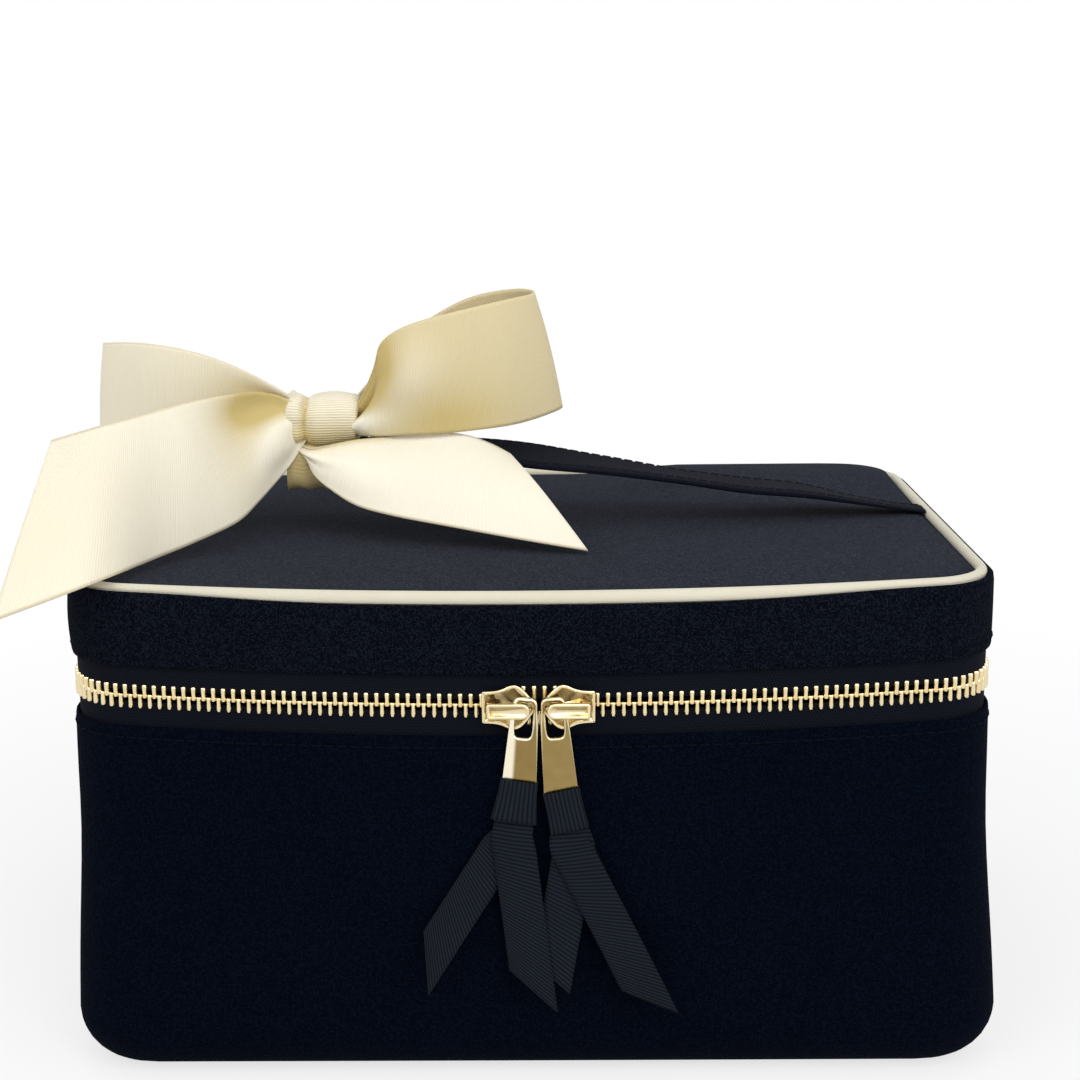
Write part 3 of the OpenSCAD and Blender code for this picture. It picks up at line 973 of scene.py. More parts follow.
@dataclass
class Box:
    """The padded box: canvas outside, lining inside.

    Attributes:
        bag: the sizes that the sub-assemblies share.
        bulge: how far the padding pushes the wall out halfway up.
        slack: how much that differs over the wall.
        slack_size: size of the slack's waves.
        padded_low: height at which the padded wall starts.
        padded_high: height at which it ends.
        lined: from the outer face in to the lining.
        seam_z: height of the stitches under the zip.
    """

    bag: Bag
    bulge: float = 0.6 * MM
    slack: float = 0.3 * MM
    slack_size: float = 48 * MM
    padded_low: float = 14 * MM
    padded_high: float = 89 * MM
    lined: float = 5.4 * MM
    seam_z: float = 86.6 * MM

    def swell(self, at: Vector) -> float:
        """How far the padded wall stands out.

        Args:
            at: the point on the plain wall.

        Returns:
            The distance.
        """
        share = (at.z - self.padded_low) / (self.padded_high - self.padded_low)
        return (self.bulge + self.slack * wobble(at, self.slack_size, 3.0)) * arch(share)

    def shell(self) -> None:
        """The canvas outside, turned under to the base and hemmed along the zip."""
        r = self.bag.bottom_r / MM
        turn = [(r - r * math.sin(a), r - r * math.cos(a)) for a in steps(0.0, math.pi / 2, 9)]
        rise = [(0.0, z) for z in (17, 22, 28, 35, 42, 50, 58, 66, 74, 80, 84, 86.5, 88.6)]
        hem = [(0.1, 89.2), (0.45, 89.5), (0.85, 89.3), (1.0, 88.5), (1.0, 84.0)]
        piece = self.bag.skin("box_canvas", turn + rise + hem, self.swell, caps=lambda at: at.z < MM)
        SHADED_CANVAS.dress(piece)
        settle(piece, "body", "canvas", "body_wall", "base_panel")

    def lining(self) -> None:
        """The lining, with a lip over the foam and a floor."""
        inner, r = self.lined / MM, self.bag.bottom_r / MM
        lip = [(1.85, 85.3), (1.9, 85.9), (2.6, 86.0), (4.6, 86.0), (5.2, 85.7), (inner, 85.0)]
        fall = [(inner, z) for z in (80, 72, 62, 52, 42, 32, 24, 18)]
        quarter = steps(0.0, math.pi / 2, 7)
        turn = [(r - (r - inner) * math.cos(a), r - (r - inner) * math.sin(a)) for a in quarter]

        def ripple(at: Vector) -> float:
            """How far the loose lining stands out at a point."""
            return 0.25 * MM * wobble(at, 30 * MM, 9.0)

        piece = self.bag.skin("box_lining", lip + fall + turn, ripple, caps=lambda at: at.z < 7 * MM)
        LINING.dress(piece)
        settle(piece, "body", "lining", "body_lining", "lining_floor")

    def seam(self) -> None:
        """The row of stitches under the zip."""
        piece = sew("box_stitches", self.bag.seam(self.seam_z))
        THREAD.dress(piece)
        settle(piece, "body", "canvas")

    def build(self, nodes: dict[str, Piece]) -> None:
        """Builds and dresses the box.

        Args:
            nodes: the CAD nodes by name.
        """
        self.shell()
        self.lining()
        self.seam()
        FOAM.dress(nodes["body_padding"])
        BOARD.dress(nodes["base_board"])


@dataclass
class Lid:
    """The lid: canvas band, piping, crowned top, lining and the cloth hinge at the back.

    Attributes:
        bag: the sizes that the sub-assemblies share.
        bulge: how far the band stands out halfway up.
        slack: how much that differs round the lid.
        band_low: height of the band's lower edge.
        band_high: height at which the band turns in to the piping.
        cord_z: height of the piping's middle.
        cord_in: from the outer face in to the piping's middle, in the front's middle.
        cord_tucked: from the outer face in to it at the corners and sides.
        cord_shown: how much of the piping's size is left there.
        top_in: from the outer face in to the top's seam.
        crown: how far the padding lifts the top's middle.
        rear_roll: how far the top rises at the rear right.
        seam_z: height of the stitches over the zip.
        bend: heights between which the hinge cloth bends; not used.
    """

    bag: Bag
    bulge: float = 0.45 * MM
    slack: float = 0.3 * MM
    band_low: float = 104.5 * MM
    band_high: float = 121.3 * MM
    cord_z: float = 123.1 * MM
    cord_in: float = 1.8 * MM
    cord_tucked: float = 3.1 * MM
    cord_shown: float = 0.86
    top_in: float = 3.3 * MM
    crown: float = 1.0 * MM
    rear_roll: float = 2.9 * MM
    seam_z: float = 107.0 * MM
    bend: tuple[float, float] = (93.5 * MM, 100.5 * MM)

    def band(self) -> None:
        """The canvas band between the zip and the piping."""
        hem = [(1.0, 110.0), (1.0, 105.5), (0.85, 104.75), (0.45, 104.5), (0.1, 104.75)]
        rise = [(0.0, z) for z in (105.4, 107.5, 110, 113, 116, 118.5)]
        roll = [(0.15, 120.2), (0.5, 121.1), (1.0, 121.4), (1.4, 121.2)]
        high = [(0.0, 121.3), (0.2, 122.6), (0.75, 123.1), (1.6, 122.6)]

        def swell(at: Vector) -> float:
            """How far the band stands out.

            Args:
                at: the point on the plain band.

            Returns:
                The distance, which fades towards the right side.
            """
            share = (at.z - self.band_low) / (self.band_high - self.band_low)
            faded = 1.0 - 0.9 * ease((at.x - 70 * MM) / (35 * MM))
            return (self.bulge + self.slack * wobble(at, 35 * MM, 5.0)) * arch(share) * faded

        piece = self.bag.skin("lid_canvas", hem + rise + roll, swell, tucked=hem + rise + high)
        HALF_LIT_LID_CANVAS.dress(piece)
        settle(piece, "lid", "canvas", "lid_band")

    def piping(self) -> None:
        """The covered cord round the top."""
        r = self.bag.piping_r / MM
        ring = [(-r * math.cos(a), r * math.sin(a)) for a in steps(0.0, 2 * math.pi, 16)]
        z, shown = self.cord_z / MM, self.cord_shown
        proud = [(self.cord_in / MM + u, z + w) for u, w in ring]
        tucked = [(self.cord_tucked / MM + shown * u, z + shown * w) for u, w in ring]
        piece = self.bag.skin("lid_piping_cord", proud, tucked=tucked)
        PIPING.dress(piece)
        settle(piece, "lid", "piping", "lid_piping")

    def top(self) -> None:
        """The padded top, drawn down to the piping's seam."""
        stops = self.bag.outline.stops()
        shares = [1.0, 0.993, 0.985, 0.97, 0.94, 0.89, 0.82, 0.73, 0.62, 0.5, 0.37, 0.24, 0.12, 0.0]
        centre = Vector((0.0, 0.0, self.bag.piping_z))

        def place(i: int, j: int) -> Vector:
            """Lays a point of the top between its seam and its middle.

            Args:
                i: the stop round the outline.
                j: the stop from the seam to the middle.

            Returns:
                The point.
            """
            edge = self.bag.outline.at(stops[i], self.top_in, self.bag.piping_z)
            at = centre.lerp(edge, shares[j])
            away = (edge - at).length
            rise = -0.7 * MM + 1.2 * MM * ease(away / (4 * MM)) + self.crown * ease(away / (45 * MM))
            rise += 0.25 * MM * wobble(at, 40 * MM, 7.0) * ease(away / (20 * MM))
            roll = ease((at.x - 12 * MM) / (35 * MM)) * ease((at.y - 25 * MM) / (35 * MM))
            roll *= ease(away / (5 * MM)) * (1.0 - 0.5 * ease((away - 10 * MM) / (50 * MM)))
            at.z = self.bag.piping_z + rise + self.rear_roll * roll
            return at

        piece = lay_cloth("lid_top_canvas", stops, shares, place, weld=True)
        uv = piece.data.uv_layers[0].data
        for loop in piece.data.loops:
            uv[loop.index].uv = piece.data.vertices[loop.vertex_index].co.xy
        LIT_TOP_CANVAS.dress(piece)
        settle(piece, "lid", "canvas", "lid_top")

    def lining(self) -> None:
        """The lid's lining, with a lip under the foam."""
        lip = [(1.85, 108.8), (1.9, 108.2), (2.6, 108.0), (4.6, 108.0), (5.2, 108.3), (5.4, 109.0)]
        rise = [(5.4, 112.0), (5.4, 115.5), (5.8, 116.8), (6.8, 117.4), (9.0, 117.5)]
        piece = self.bag.skin("lid_inner_lining", lip + rise, caps=lambda at: at.z > 117 * MM)
        LINING.dress(piece)
        settle(piece, "lid", "lining", "lid_lining")

    def hinge(self) -> None:
        """The cloth across the back, where the lid bends."""
        line = self.bag.outline
        first = line.side_length(self.bag.zip_end_y + 0.3 * MM)
        stops = line.stops_between(first, 2 * line.marks()[-1] - first)
        face = [(0.0, z) for z in (89.7, 92, 94, 95, 96, 97, 98, 99, 100, 102, 104.3)]
        section = [(0.9, 89.7)] + face + [(0.9, 104.3)]
        piece = self.bag.skin("hinge_cloth", section, stops=stops, weld=False)
        SHADED_CANVAS.dress(piece)
        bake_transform(piece)
        settle(piece, "", "canvas", "hinge_cloth_lower", "hinge_cloth_upper")

    def seam(self) -> None:
        """The row of stitches over the zip."""
        piece = sew("lid_stitches", self.bag.seam(self.seam_z))
        THREAD.dress(piece)
        settle(piece, "lid", "canvas")

    def build(self, nodes: dict[str, Piece]) -> None:
        """Builds and dresses the lid.

        Args:
            nodes: the CAD nodes by name.
        """
        self.band()
        self.piping()
        self.top()
        self.lining()
        self.hinge()
        self.seam()
        FOAM.dress(nodes["lid_padding"])


@dataclass
class Zip:
    """The zip: woven tapes, metal teeth and two sliders with ribboned pulls.

    Attributes:
        bag: the sizes that the sub-assemblies share.
        pitch: from tooth to tooth in a row.
        parted: how far a parted tooth stands off the zip's line.
        parted_near: distance from the sliders' meeting place within which the teeth are parted.
        closing: length over which they close again.
        end_gap: least distance from the last tooth to the tape's end.
        lower_tape: heights of the lower tape's two edges, in millimetres.
        upper_tape: heights of the upper tape's two edges, in millimetres.
    """

    bag: Bag
    pitch: float = 2.5 * MM
    parted: float = 1.9 * MM
    parted_near: float = 4 * MM
    closing: float = 5 * MM
    end_gap: float = 2 * MM
    lower_tape: tuple[float, float] = (80.0, 95.5)
    upper_tape: tuple[float, float] = (98.5, 114.0)

    @property
    def reaches(self) -> tuple[float, float]:
        """Lengths of half the front and of a corner on the zip's own line.

        Returns:
            The two lengths.
        """
        line = self.bag.outline
        front, corner = line.marks()[:2]
        arc = front * (1.0 - self.bag.tape_mid / line.bow)
        bend = (corner - front) * (1.0 - self.bag.tape_mid / line.corner)
        return arc, bend

    def on_face(self, s: float) -> float:
        """Length on the bag's outer face for a length on the zip's own line.

        Args:
            s: the length from the front's middle.

        Returns:
            The length on the face.
        """
        front, corner = self.bag.outline.marks()[:2]
        arc, bend = self.reaches
        if s <= arc:
            return s * front / arc
        if s <= arc + bend:
            return front + (s - arc) * (corner - front) / bend
        return corner + s - arc - bend

    @staticmethod
    def tooth() -> bpy.types.Mesh:
        """One tooth, upright: a rounded bar whose head, at the zip's line, is a little wider.

        Returns:
            Its mesh.
        """
        levels = (
            (3.0, 0.5, 0.9), (2.85, 0.68, 1.1), (2.1, 0.68, 1.15), (1.5, 0.6, 1.15),
            (0.4, 0.54, 1.1), (0.15, 0.68, 1.05), (-0.3, 0.68, 1.0), (-0.5, 0.44, 0.8),
        )
        bm = bmesh.new()
        bmesh.ops.create_circle(bm, cap_ends=True, segments=8, radius=MM)
        bmesh.ops.rotate(bm, verts=bm.verts, matrix=Matrix.Rotation(math.pi / 8, 3, "Z"))
        face = bm.faces[:][0]
        was_wide, was_deep = 1.0, 1.0
        for k, (up, wide, deep) in enumerate(levels):
            if k > 0:
                made = bmesh.ops.extrude_face_region(bm, geom=[face, *face.edges])["geom"]
                face = next(part for part in made if isinstance(part, bmesh.types.BMFace))
            for vert in face.verts:
                vert.co = Vector((vert.co.x * wide / was_wide, vert.co.y * deep / was_deep, up * MM))
            was_wide, was_deep = wide, deep
        bmesh.ops.recalc_face_normals(bm, faces=bm.faces)
        for part in bm.faces:
            part.smooth = True
        mesh = bpy.data.meshes.new("tooth")
        bm.to_mesh(mesh)
        bm.free()
        return mesh

    def teeth(self, name: str, body: str, side: int, node: str) -> None:
        """One row of teeth, which part round the sliders' wedges.

        Args:
            name: the row's name.
            body: the body that it moves with.
            side: 1 for the upper row, -1 for the lower one.
            node: the CAD node that it stands for.
        """
        line, tooth = self.bag.outline, self.tooth()
        arc, bend = self.reaches
        length = self.bag.zip_end_y - line.corner_front_y + arc + bend
        shift = self.pitch / 2 if side > 0 else 0.0
        count = int((length - self.end_gap - shift) / self.pitch)
        bm = bmesh.new()
        for hand in Hand:
            for i in range(1 if side < 0 and hand is Hand.LEFT else 0, count + 1):
                s = shift + i * self.pitch
                away = abs(s - hand.value * self.bag.meet)
                apart = self.parted * (1.0 - ease((away - self.parted_near) / self.closing))
                height = self.bag.zip_z + side * apart
                spots = [
                    line.at(hand.value * self.on_face(s + d), self.bag.tape_mid, height)
                    for d in (0.0, 0.2 * MM)
                ]
                heading = (spots[1] - spots[0]).normalized()
                up = Vector((0.0, 0.0, float(side)))
                turn = Matrix((heading, up.cross(heading), up)).transposed().to_4x4()
                known = len(bm.verts)
                bm.from_mesh(tooth)
                bm.verts.ensure_lookup_table()
                bmesh.ops.transform(bm, matrix=Matrix.Translation(spots[0]) @ turn, verts=bm.verts[known:])
        bpy.data.meshes.remove(tooth)
        piece = new_object(name, bm)
        GOLD.dress(piece)
        settle(piece, body, "zip_metal", node)

    def tape(self, body: str, low: float, high: float, node: str) -> None:
        """One of the two tapes.

        Args:
            body: the body that it is sewn to.
            low: height of its lower edge, in millimetres.
            high: height of its upper edge, in millimetres.
            node: the CAD node that it stands for.
        """
        last = self.bag.outline.side_length(self.bag.zip_end_y)
        stops = self.bag.outline.stops_between(-last, last)
        section = [(1.65, low), (1.2, low), (1.15, low + 0.3)]
        section += [(1.15, low + (high - low) * k / 6) for k in range(1, 6)]
        section += [(1.15, high - 0.3), (1.2, high), (1.65, high)]
        piece = self.bag.skin(node.replace("zip_tape", "tape"), section, stops=stops, weld=False)
        TAPE.dress(piece)
        settle(piece, body, "zip_tape", node)

    def build(self) -> None:
        """Builds the tapes, the teeth and both pulls."""
        self.tape("body", *self.lower_tape, "lower_zip_tape")
        self.tape("lid", *self.upper_tape, "upper_zip_tape")
        self.teeth("teeth_lower", "body", -1, "lower_zip_teeth")
        self.teeth("teeth_upper", "lid", 1, "upper_zip_teeth")
        for hand in Hand:
            Pull(self.bag, hand).build()


@dataclass(frozen=True)
class Tail:
    """A pull's ribbon tail, in the pull's own plane.

    Attributes:
        name: front or back.
        start: where its middle is along the zip, once it is free of the hitch.
        fan: its slant away from the front's middle, in degrees.
        outer: length of its edge away from the front's middle.
        inner: length of its other edge.
        lift: from the tape's middle out to the tail.
        curl: height of its waves.
        lean: how much further out its tip stands.
    """

    name: str
    start: float
    fan: float
    outer: float
    inner: float
    lift: float
    curl: float
    lean: float


@dataclass(frozen=True)
class Hang:
    """How one of the two pulls hangs.

    Attributes:
        drop: how much lower its ribbon is hitched than the left one's.
        play: how far its tab has slid towards the front's middle.
        tilt: how far its tab hangs out of plumb, in degrees.
        skew: how far its hitch is turned on the tab, in degrees.
        flare: how much wider its hitch is at the foot, as a share of the ribbon.
        tails: the front tail and the one behind it.
        metal: the tab's finish.
    """

    drop: float
    play: float
    tilt: float
    skew: float
    flare: float
    tails: tuple[Tail, Tail]
    metal: TabFinish


HANGS = {
    Hand.LEFT: Hang(
        drop=0.0,
        play=0.7 * MM,
        tilt=4.8,
        skew=3.5,
        flare=0.2,
        tails=(
            Tail("front", 1.6 * MM, -11.2, 37.4 * MM, 48.8 * MM, 3.85 * MM, 0.3 * MM, 5.4 * MM),
            Tail("back", -1.0 * MM, 26.6, 34.7 * MM, 50.2 * MM, 2.95 * MM, 0.2 * MM, 6.2 * MM),
        ),
        metal=HIGHLIT_TAB_GOLD,
    ),
    Hand.RIGHT: Hang(
        drop=2.5 * MM,
        play=0.4 * MM,
        tilt=4.5,
        skew=7.0,
        flare=0.05,
        tails=(
            Tail("front", -0.9 * MM, 20.6, 53 * MM, 43.3 * MM, 3.85 * MM, 0.3 * MM, 6.6 * MM),
            Tail("back", 3.6 * MM, -14.2, 42 * MM, 34 * MM, 3.0 * MM, 0.15 * MM, 4.6 * MM),
        ),
        metal=SHADED_TAB_GOLD,
    ),
}


@dataclass
class Pull:
    """A slider with its pull: a metal tab with a ribbon hitched through it.

    Attributes:
        bag: the sizes that the sub-assemblies share.
        hand: which of the two.
        slider_mid: from the place where the sliders meet to the slider's middle.
        pivot: from the slider's middle to the leg that the tab hangs on.
        hitch_top: height of the hitch's top on the tab, from the zip's line.
        hitch_low: height of the hitch's foot.
        hitch_out: from the tape's middle out to the hitch's middle.
        hitch_deep: half the hitch's depth.
        ribbon: the ribbon's width.
        drawn: how much of that width is left in the hitch.
        allowance: what is added to the length of a tail's edges.
        root_up: how far a tail's root lies up in the hitch.
        root_out: from the tape's middle out to a tail's root.
        bend_out: from the tape's middle out to a line across the tails; read, but the tails are not bent on
            it.
        bend_over: a length down from that line; read, but nothing bends the tails over it.
    """

    bag: Bag
    hand: Hand
    slider_mid: float = 6.9 * MM
    pivot: float = -3.0 * MM
    hitch_top: float = -17.5 * MM
    hitch_low: float = -27.9 * MM
    hitch_out: float = 3.95 * MM
    hitch_deep: float = 1.6 * MM
    ribbon: float = 10.4 * MM
    drawn: float = 0.86
    allowance: float = 2.5 * MM
    root_up: float = 1.2 * MM
    root_out: float = 3.75 * MM
    bend_out: float = 4.0 * MM
    bend_over: float = 6 * MM

    @property
    def hang(self) -> Hang:
        """How this pull hangs."""
        return HANGS[self.hand]

    @property
    def side(self) -> str:
        """The hand's name, with which pieces, bodies and nodes end."""
        return self.hand.name.lower()

    def spot(self, along: float, up: float, out: float) -> Vector:
        """A point in the pull's own frame, hung and tilted as it is.

        Args:
            along: along the zip, away from the front's middle.
            up: along the tab, negative below the pivot.
            out: away from the tape's middle.

        Returns:
            The point in the bag's frame.
        """
        tilt = math.radians(self.hang.tilt)
        a = along * math.cos(tilt) - up * math.sin(tilt) + self.pivot - self.hang.play
        t = along * math.sin(tilt) + up * math.cos(tilt)
        return self.on_slider(a, t, out)

    def on_slider(self, along: float, up: float, out: float) -> Vector:
        """A point in the slider's own frame.

        Args:
            along: along the zip from the slider's middle, away from the front's middle.
            up: above the zip's line.
            out: away from the tape's middle.

        Returns:
            The point in the bag's frame.
        """
        sign = self.hand.value
        line = self.bag.outline
        angle = sign * math.asin(self.slider_mid / line.bow) + math.asin(self.bag.meet / line.bow)
        turn = Matrix.Rotation(angle, 3, "Z")
        arm = Vector((sign * along, self.bag.tape_mid - line.depth / 2 - out - line.front_y, up))
        return turn @ arm + Vector((0.0, line.front_y, self.bag.zip_z))

    def hitch(self) -> None:
        """The ribbon wrapped round the tab, a little skewed and wider at its foot."""
        around, rows = 64, 10
        top = self.hitch_top - self.hang.drop
        skew = math.radians(self.hang.skew)
        heights = steps(top, self.hitch_low - self.hang.drop, rows)
        shape = []
        for angle in steps(0.0, 2 * math.pi, around):
            wide = blunt(math.cos(angle), 0.4) * self.ribbon / 2
            shape.append(Vector((wide, blunt(math.sin(angle), 0.5) * self.hitch_deep, 0.0)))
        shape[-1] = shape[0]

        def place(i: int, j: int) -> Vector:
            """Lays a point of the wrapped ribbon.

            Args:
                i: the stop round the tab.
                j: the stop down it.

            Returns:
                The point.
            """
            share = j / rows
            size = self.drawn + self.hang.flare * share - 0.03 * math.sin(math.pi * share)
            ripple = 0.12 * MM * math.sin(9 * math.pi * i / around) * math.sin(math.pi * share)
            lip = 0.86 if j in (0, rows) else 1.0
            along, fall = shape[i].x * size, heights[j] - top
            return self.spot(
                along * math.cos(skew) - fall * math.sin(skew),
                top + along * math.sin(skew) + fall * math.cos(skew),
                self.hitch_out + shape[i].y * lip + ripple,
            )

        piece = lay_cloth(f"hitch_{self.side}", running(shape), heights, place, weld=True)
        thicken(piece, RIBBON_THICKNESS, -1.0)
        PULL_RIBBON.dress(piece)
        settle(piece, f"pull_{self.side}", "pull_ribbon", f"pull_hitch_{self.side}")

    def tail(self, tail: Tail) -> None:
        """One ribbon tail, cut on the slant.

        Args:
            tail: its size and place.
        """
        side, rows = self.side, 30
        longest = max(tail.outer, tail.inner) + self.allowance
        along, across = steps(0.0, longest, rows), steps(-self.ribbon / 2, self.ribbon / 2, 8)
        low = self.hitch_low - self.hang.drop
        foot = (self.hitch_top - self.hitch_low) * math.sin(math.radians(self.hang.skew))

        def place(i: int, j: int) -> Vector:
            """Lays a point of the tail.

            Args:
                i: the stop down the tail.
                j: the stop across it.

            Returns:
                The point.
            """
            share = (across[j] + self.ribbon / 2) / self.ribbon
            reach = (tail.inner + (tail.outer - tail.inner) * share + self.allowance) * i / rows
            freed = ease(reach / (9 * MM))
            fan = math.radians(tail.fan) * ease((reach - 1.0 * MM) / (8 * MM))
            wide = across[j] * (self.drawn + (1.0 - self.drawn) * freed)
            start = foot + (tail.start - foot) * freed
            lean = tail.lean * (reach / longest) ** 2
            a = start + wide * math.cos(fan) + reach * math.sin(fan)
            t = low + self.root_up + wide * math.sin(fan) * 0.6 - reach * math.cos(fan) + 0.5 * lean
            wave = tail.curl * math.sin(2.4 * math.pi * reach / longest)
            belly = 0.25 * MM * math.cos(math.pi * (share - 0.5))
            lift = self.root_out + (tail.lift - self.root_out) * ease(reach / (5 * MM))
            return self.spot(a, t, lift + (wave + belly) * ease(reach / (6 * MM)) + lean)

        piece = lay_cloth(f"tail_{tail.name}_{side}", along, across, place)
        thicken(piece, 0.45 * MM)
        PULL_RIBBON.dress(piece)
        top_edge = self.spot(0.0, low, self.bend_out)
        low_edge = self.spot(0.0, low - self.bend_over, self.bend_out)
        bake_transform(piece)
        settle(piece, "", "pull_ribbon", f"pull_tails_{side}")

    def stamp(self, name: str, loop: Section, section: Section, node: str) -> None:
        """Makes a stamped piece of the slider by carrying a section round a closed outline.

        Args:
            name: the piece's name.
            loop: the outline's points in the slider's plane, in millimetres.
            section: points of (distance in from the outline, distance out from the tape), in millimetres.
            node: the CAD node that it stands for.
        """
        n = len(loop)
        points = [Vector((a, t, 0.0)) for a, t in loop]
        around = running([p * MM for p in [*points, points[0]]])
        up_section = running([Vector((u, w, 0.0)) * MM for u, w in section])

        def place(i: int, j: int) -> Vector:
            """Lays a point of the section.

            Args:
                i: the stop round the outline.
                j: the place in the section.

            Returns:
                The point.
            """
            ahead = points[(i + 1) % n] - points[(i - 1) % n]
            inward = Vector((ahead.y, -ahead.x, 0.0)).normalized()
            at = points[i % n] + inward * section[j][0]
            return self.on_slider(at.x * MM, at.y * MM, section[j][1] * MM)

        piece = lay_cloth(f"{name}_{self.side}", around, up_section, place, weld=True, caps=lambda at: True)
        GOLD.dress(piece)
        settle(piece, f"slider_{self.side}", "zip_metal", f"{node}_{self.side}")

    def slider(self) -> None:
        """The slider: two plates on a wedge, and the crown that holds the tab."""
        pivot = self.pivot / MM
        half = [
            (-6.5, 0), (-5.9, 1.1), (-5.0, 2.4), (-4.0, 3.65), (-3.0, 4.65), (-2.0, 5.3), (-1.1, 5.5),
            (0.0, 5.3), (1.2, 4.75), (2.4, 4.3), (3.8, 4.05), (5.4, 3.95), (6.2, 3.9), (6.5, 3.5), (6.5, 1.5),
        ]
        curve = [curve_at([Vector((*p, 0.0)) for p in half], t) for t in steps(0.0, 1.0, 56)]
        upper = [(p.x, p.y) for p in curve]
        loop = upper + [(a, -t) for a, t in reversed(upper[1:])]
        rim = [
            (0.3, 1.5), (0.0, 1.75), (0.0, 2.35), (0.1, 2.53),
            (0.28, 2.6), (0.62, 2.6), (0.78, 2.5), (0.9, 2.22),
        ]
        self.stamp("slider_front", loop, rim, "slider_body")
        self.stamp("slider_back", loop, [(0.0, -1.5), (0.0, -2.4), (0.2, -2.6)], "slider_body")
        wedge = [(-5.6, 0), (-4.4, 0.8), (-2.9, 0), (-4.4, -0.8)]
        self.stamp("slider_wedge", wedge, [(0.0, -1.5), (0.0, 1.5)], "slider_body")
        turn = steps(math.pi / 2, 3 * math.pi / 2, 14)
        nose = [(pivot + 1.9 * math.cos(a), 1.9 * math.sin(a)) for a in reversed(turn)]
        heel = [(4.6, 1.9), (5.1, 1.7), (5.3, 1.2), (5.3, -1.2), (5.1, -1.7), (4.6, -1.9)]
        beam = [
            (0.2, 4.9), (0.0, 5.1), (0.0, 5.75), (0.12, 5.93),
            (0.3, 6.0), (0.55, 6.0), (0.68, 5.92), (0.76, 5.68),
        ]
        self.stamp("crown_beam", nose + heel, beam, "slider_crown")
        circle = steps(0.0, 2 * math.pi, 20)[:-1]
        leg = [(pivot + 1.3 * math.cos(a), -1.3 * math.sin(a)) for a in circle]
        upright = [(0.0, 2.2), (0.0, 4.95)]
        self.stamp("crown_leg", leg, upright, "slider_crown")
        post = [(3.4, 1.5), (5.2, 1.5), (5.2, -1.5), (3.4, -1.5)]
        self.stamp("crown_post", post, upright, "slider_crown")

    def tab(self) -> None:
        """The pull's tab: a stamped plate with rounded edges round its window."""
        drop = self.hang.drop / MM
        flank = []
        for t in steps(1.7, -18.8 - drop, 12):
            fall = 1.7 - t
            flank.append((3.2 + 1.1 * fall / (23.7 + drop) - 0.4 * (1.0 - ease(fall / 5)), t))
        half = [
            (0.0, 2.9), (0.9, 2.9), (1.7, 2.85), (2.2, 2.65), (2.55, 2.25), *flank, (3.5, -20 - drop),
            (2.8, -21.2 - drop), (2.0, -21.8 - drop), (1.0, -22 - drop), (0.0, -22 - drop),
        ]
        outer = [*half, *((-a, t) for a, t in reversed(half[1:-1]))]
        window, half_wide, half_high = Vector((0.0, -2.7)), 2.1, 4.3
        back, front, bevel, land = 3.1, 4.4, 0.3, 0.55
        outs = [back + bevel, front - bevel, front, front + 0.03, front + 0.12, front + 0.03]
        outs += [front, front - bevel, back + bevel, back, back, back + bevel]
        nominal = [d * MM for d in (0.0, 0.7, 1.1, 1.4, 3.0, 4.6, 4.9, 5.3, 6.0, 6.4, 8.0, 8.6)]

        def place(i: int, j: int) -> Vector:
            """Lays a point of the plate between its window and its edge.

            Args:
                i: the stop round the tab.
                j: the stop round the plate's section, from the window over the front face.

            Returns:
                The point.
            """
            edge = Vector(outer[i % len(outer)])
            heading = (edge - window).normalized()
            reach = (abs(heading.x / half_wide) ** 5 + abs(heading.y / half_high) ** 5) ** -0.2
            hole = window + heading * reach
            wide = (edge - hole).length
            ways = [0.0, 0.0, bevel, land, wide / 2, wide - land]
            ways += [wide - bevel, wide, wide, wide - bevel, bevel, 0.0]
            at = hole.lerp(edge, ways[j] / wide)
            return self.spot(at.x * MM, at.y * MM, outs[j] * MM)

        around = running([Vector((*p, 0.0)) * MM for p in [*outer, outer[0]]])
        piece = lay_cloth(f"tab_{self.side}", around, nominal, place, weld=True)
        self.hang.metal.dress(piece)
        settle(piece, f"pull_{self.side}", "zip_metal", f"pull_tab_{self.side}")

    def build(self) -> None:
        """Builds the slider, the tab and the ribbon."""
        self.slider()
        self.tab()
        self.hitch()
        for tail in self.hang.tails:
            self.tail(tail)


def vectors(rows: Sequence[Sequence[float]]) -> list[Vector]:
    """Points in millimetres as vectors in metres."""
    return [Vector(row) * MM for row in rows]


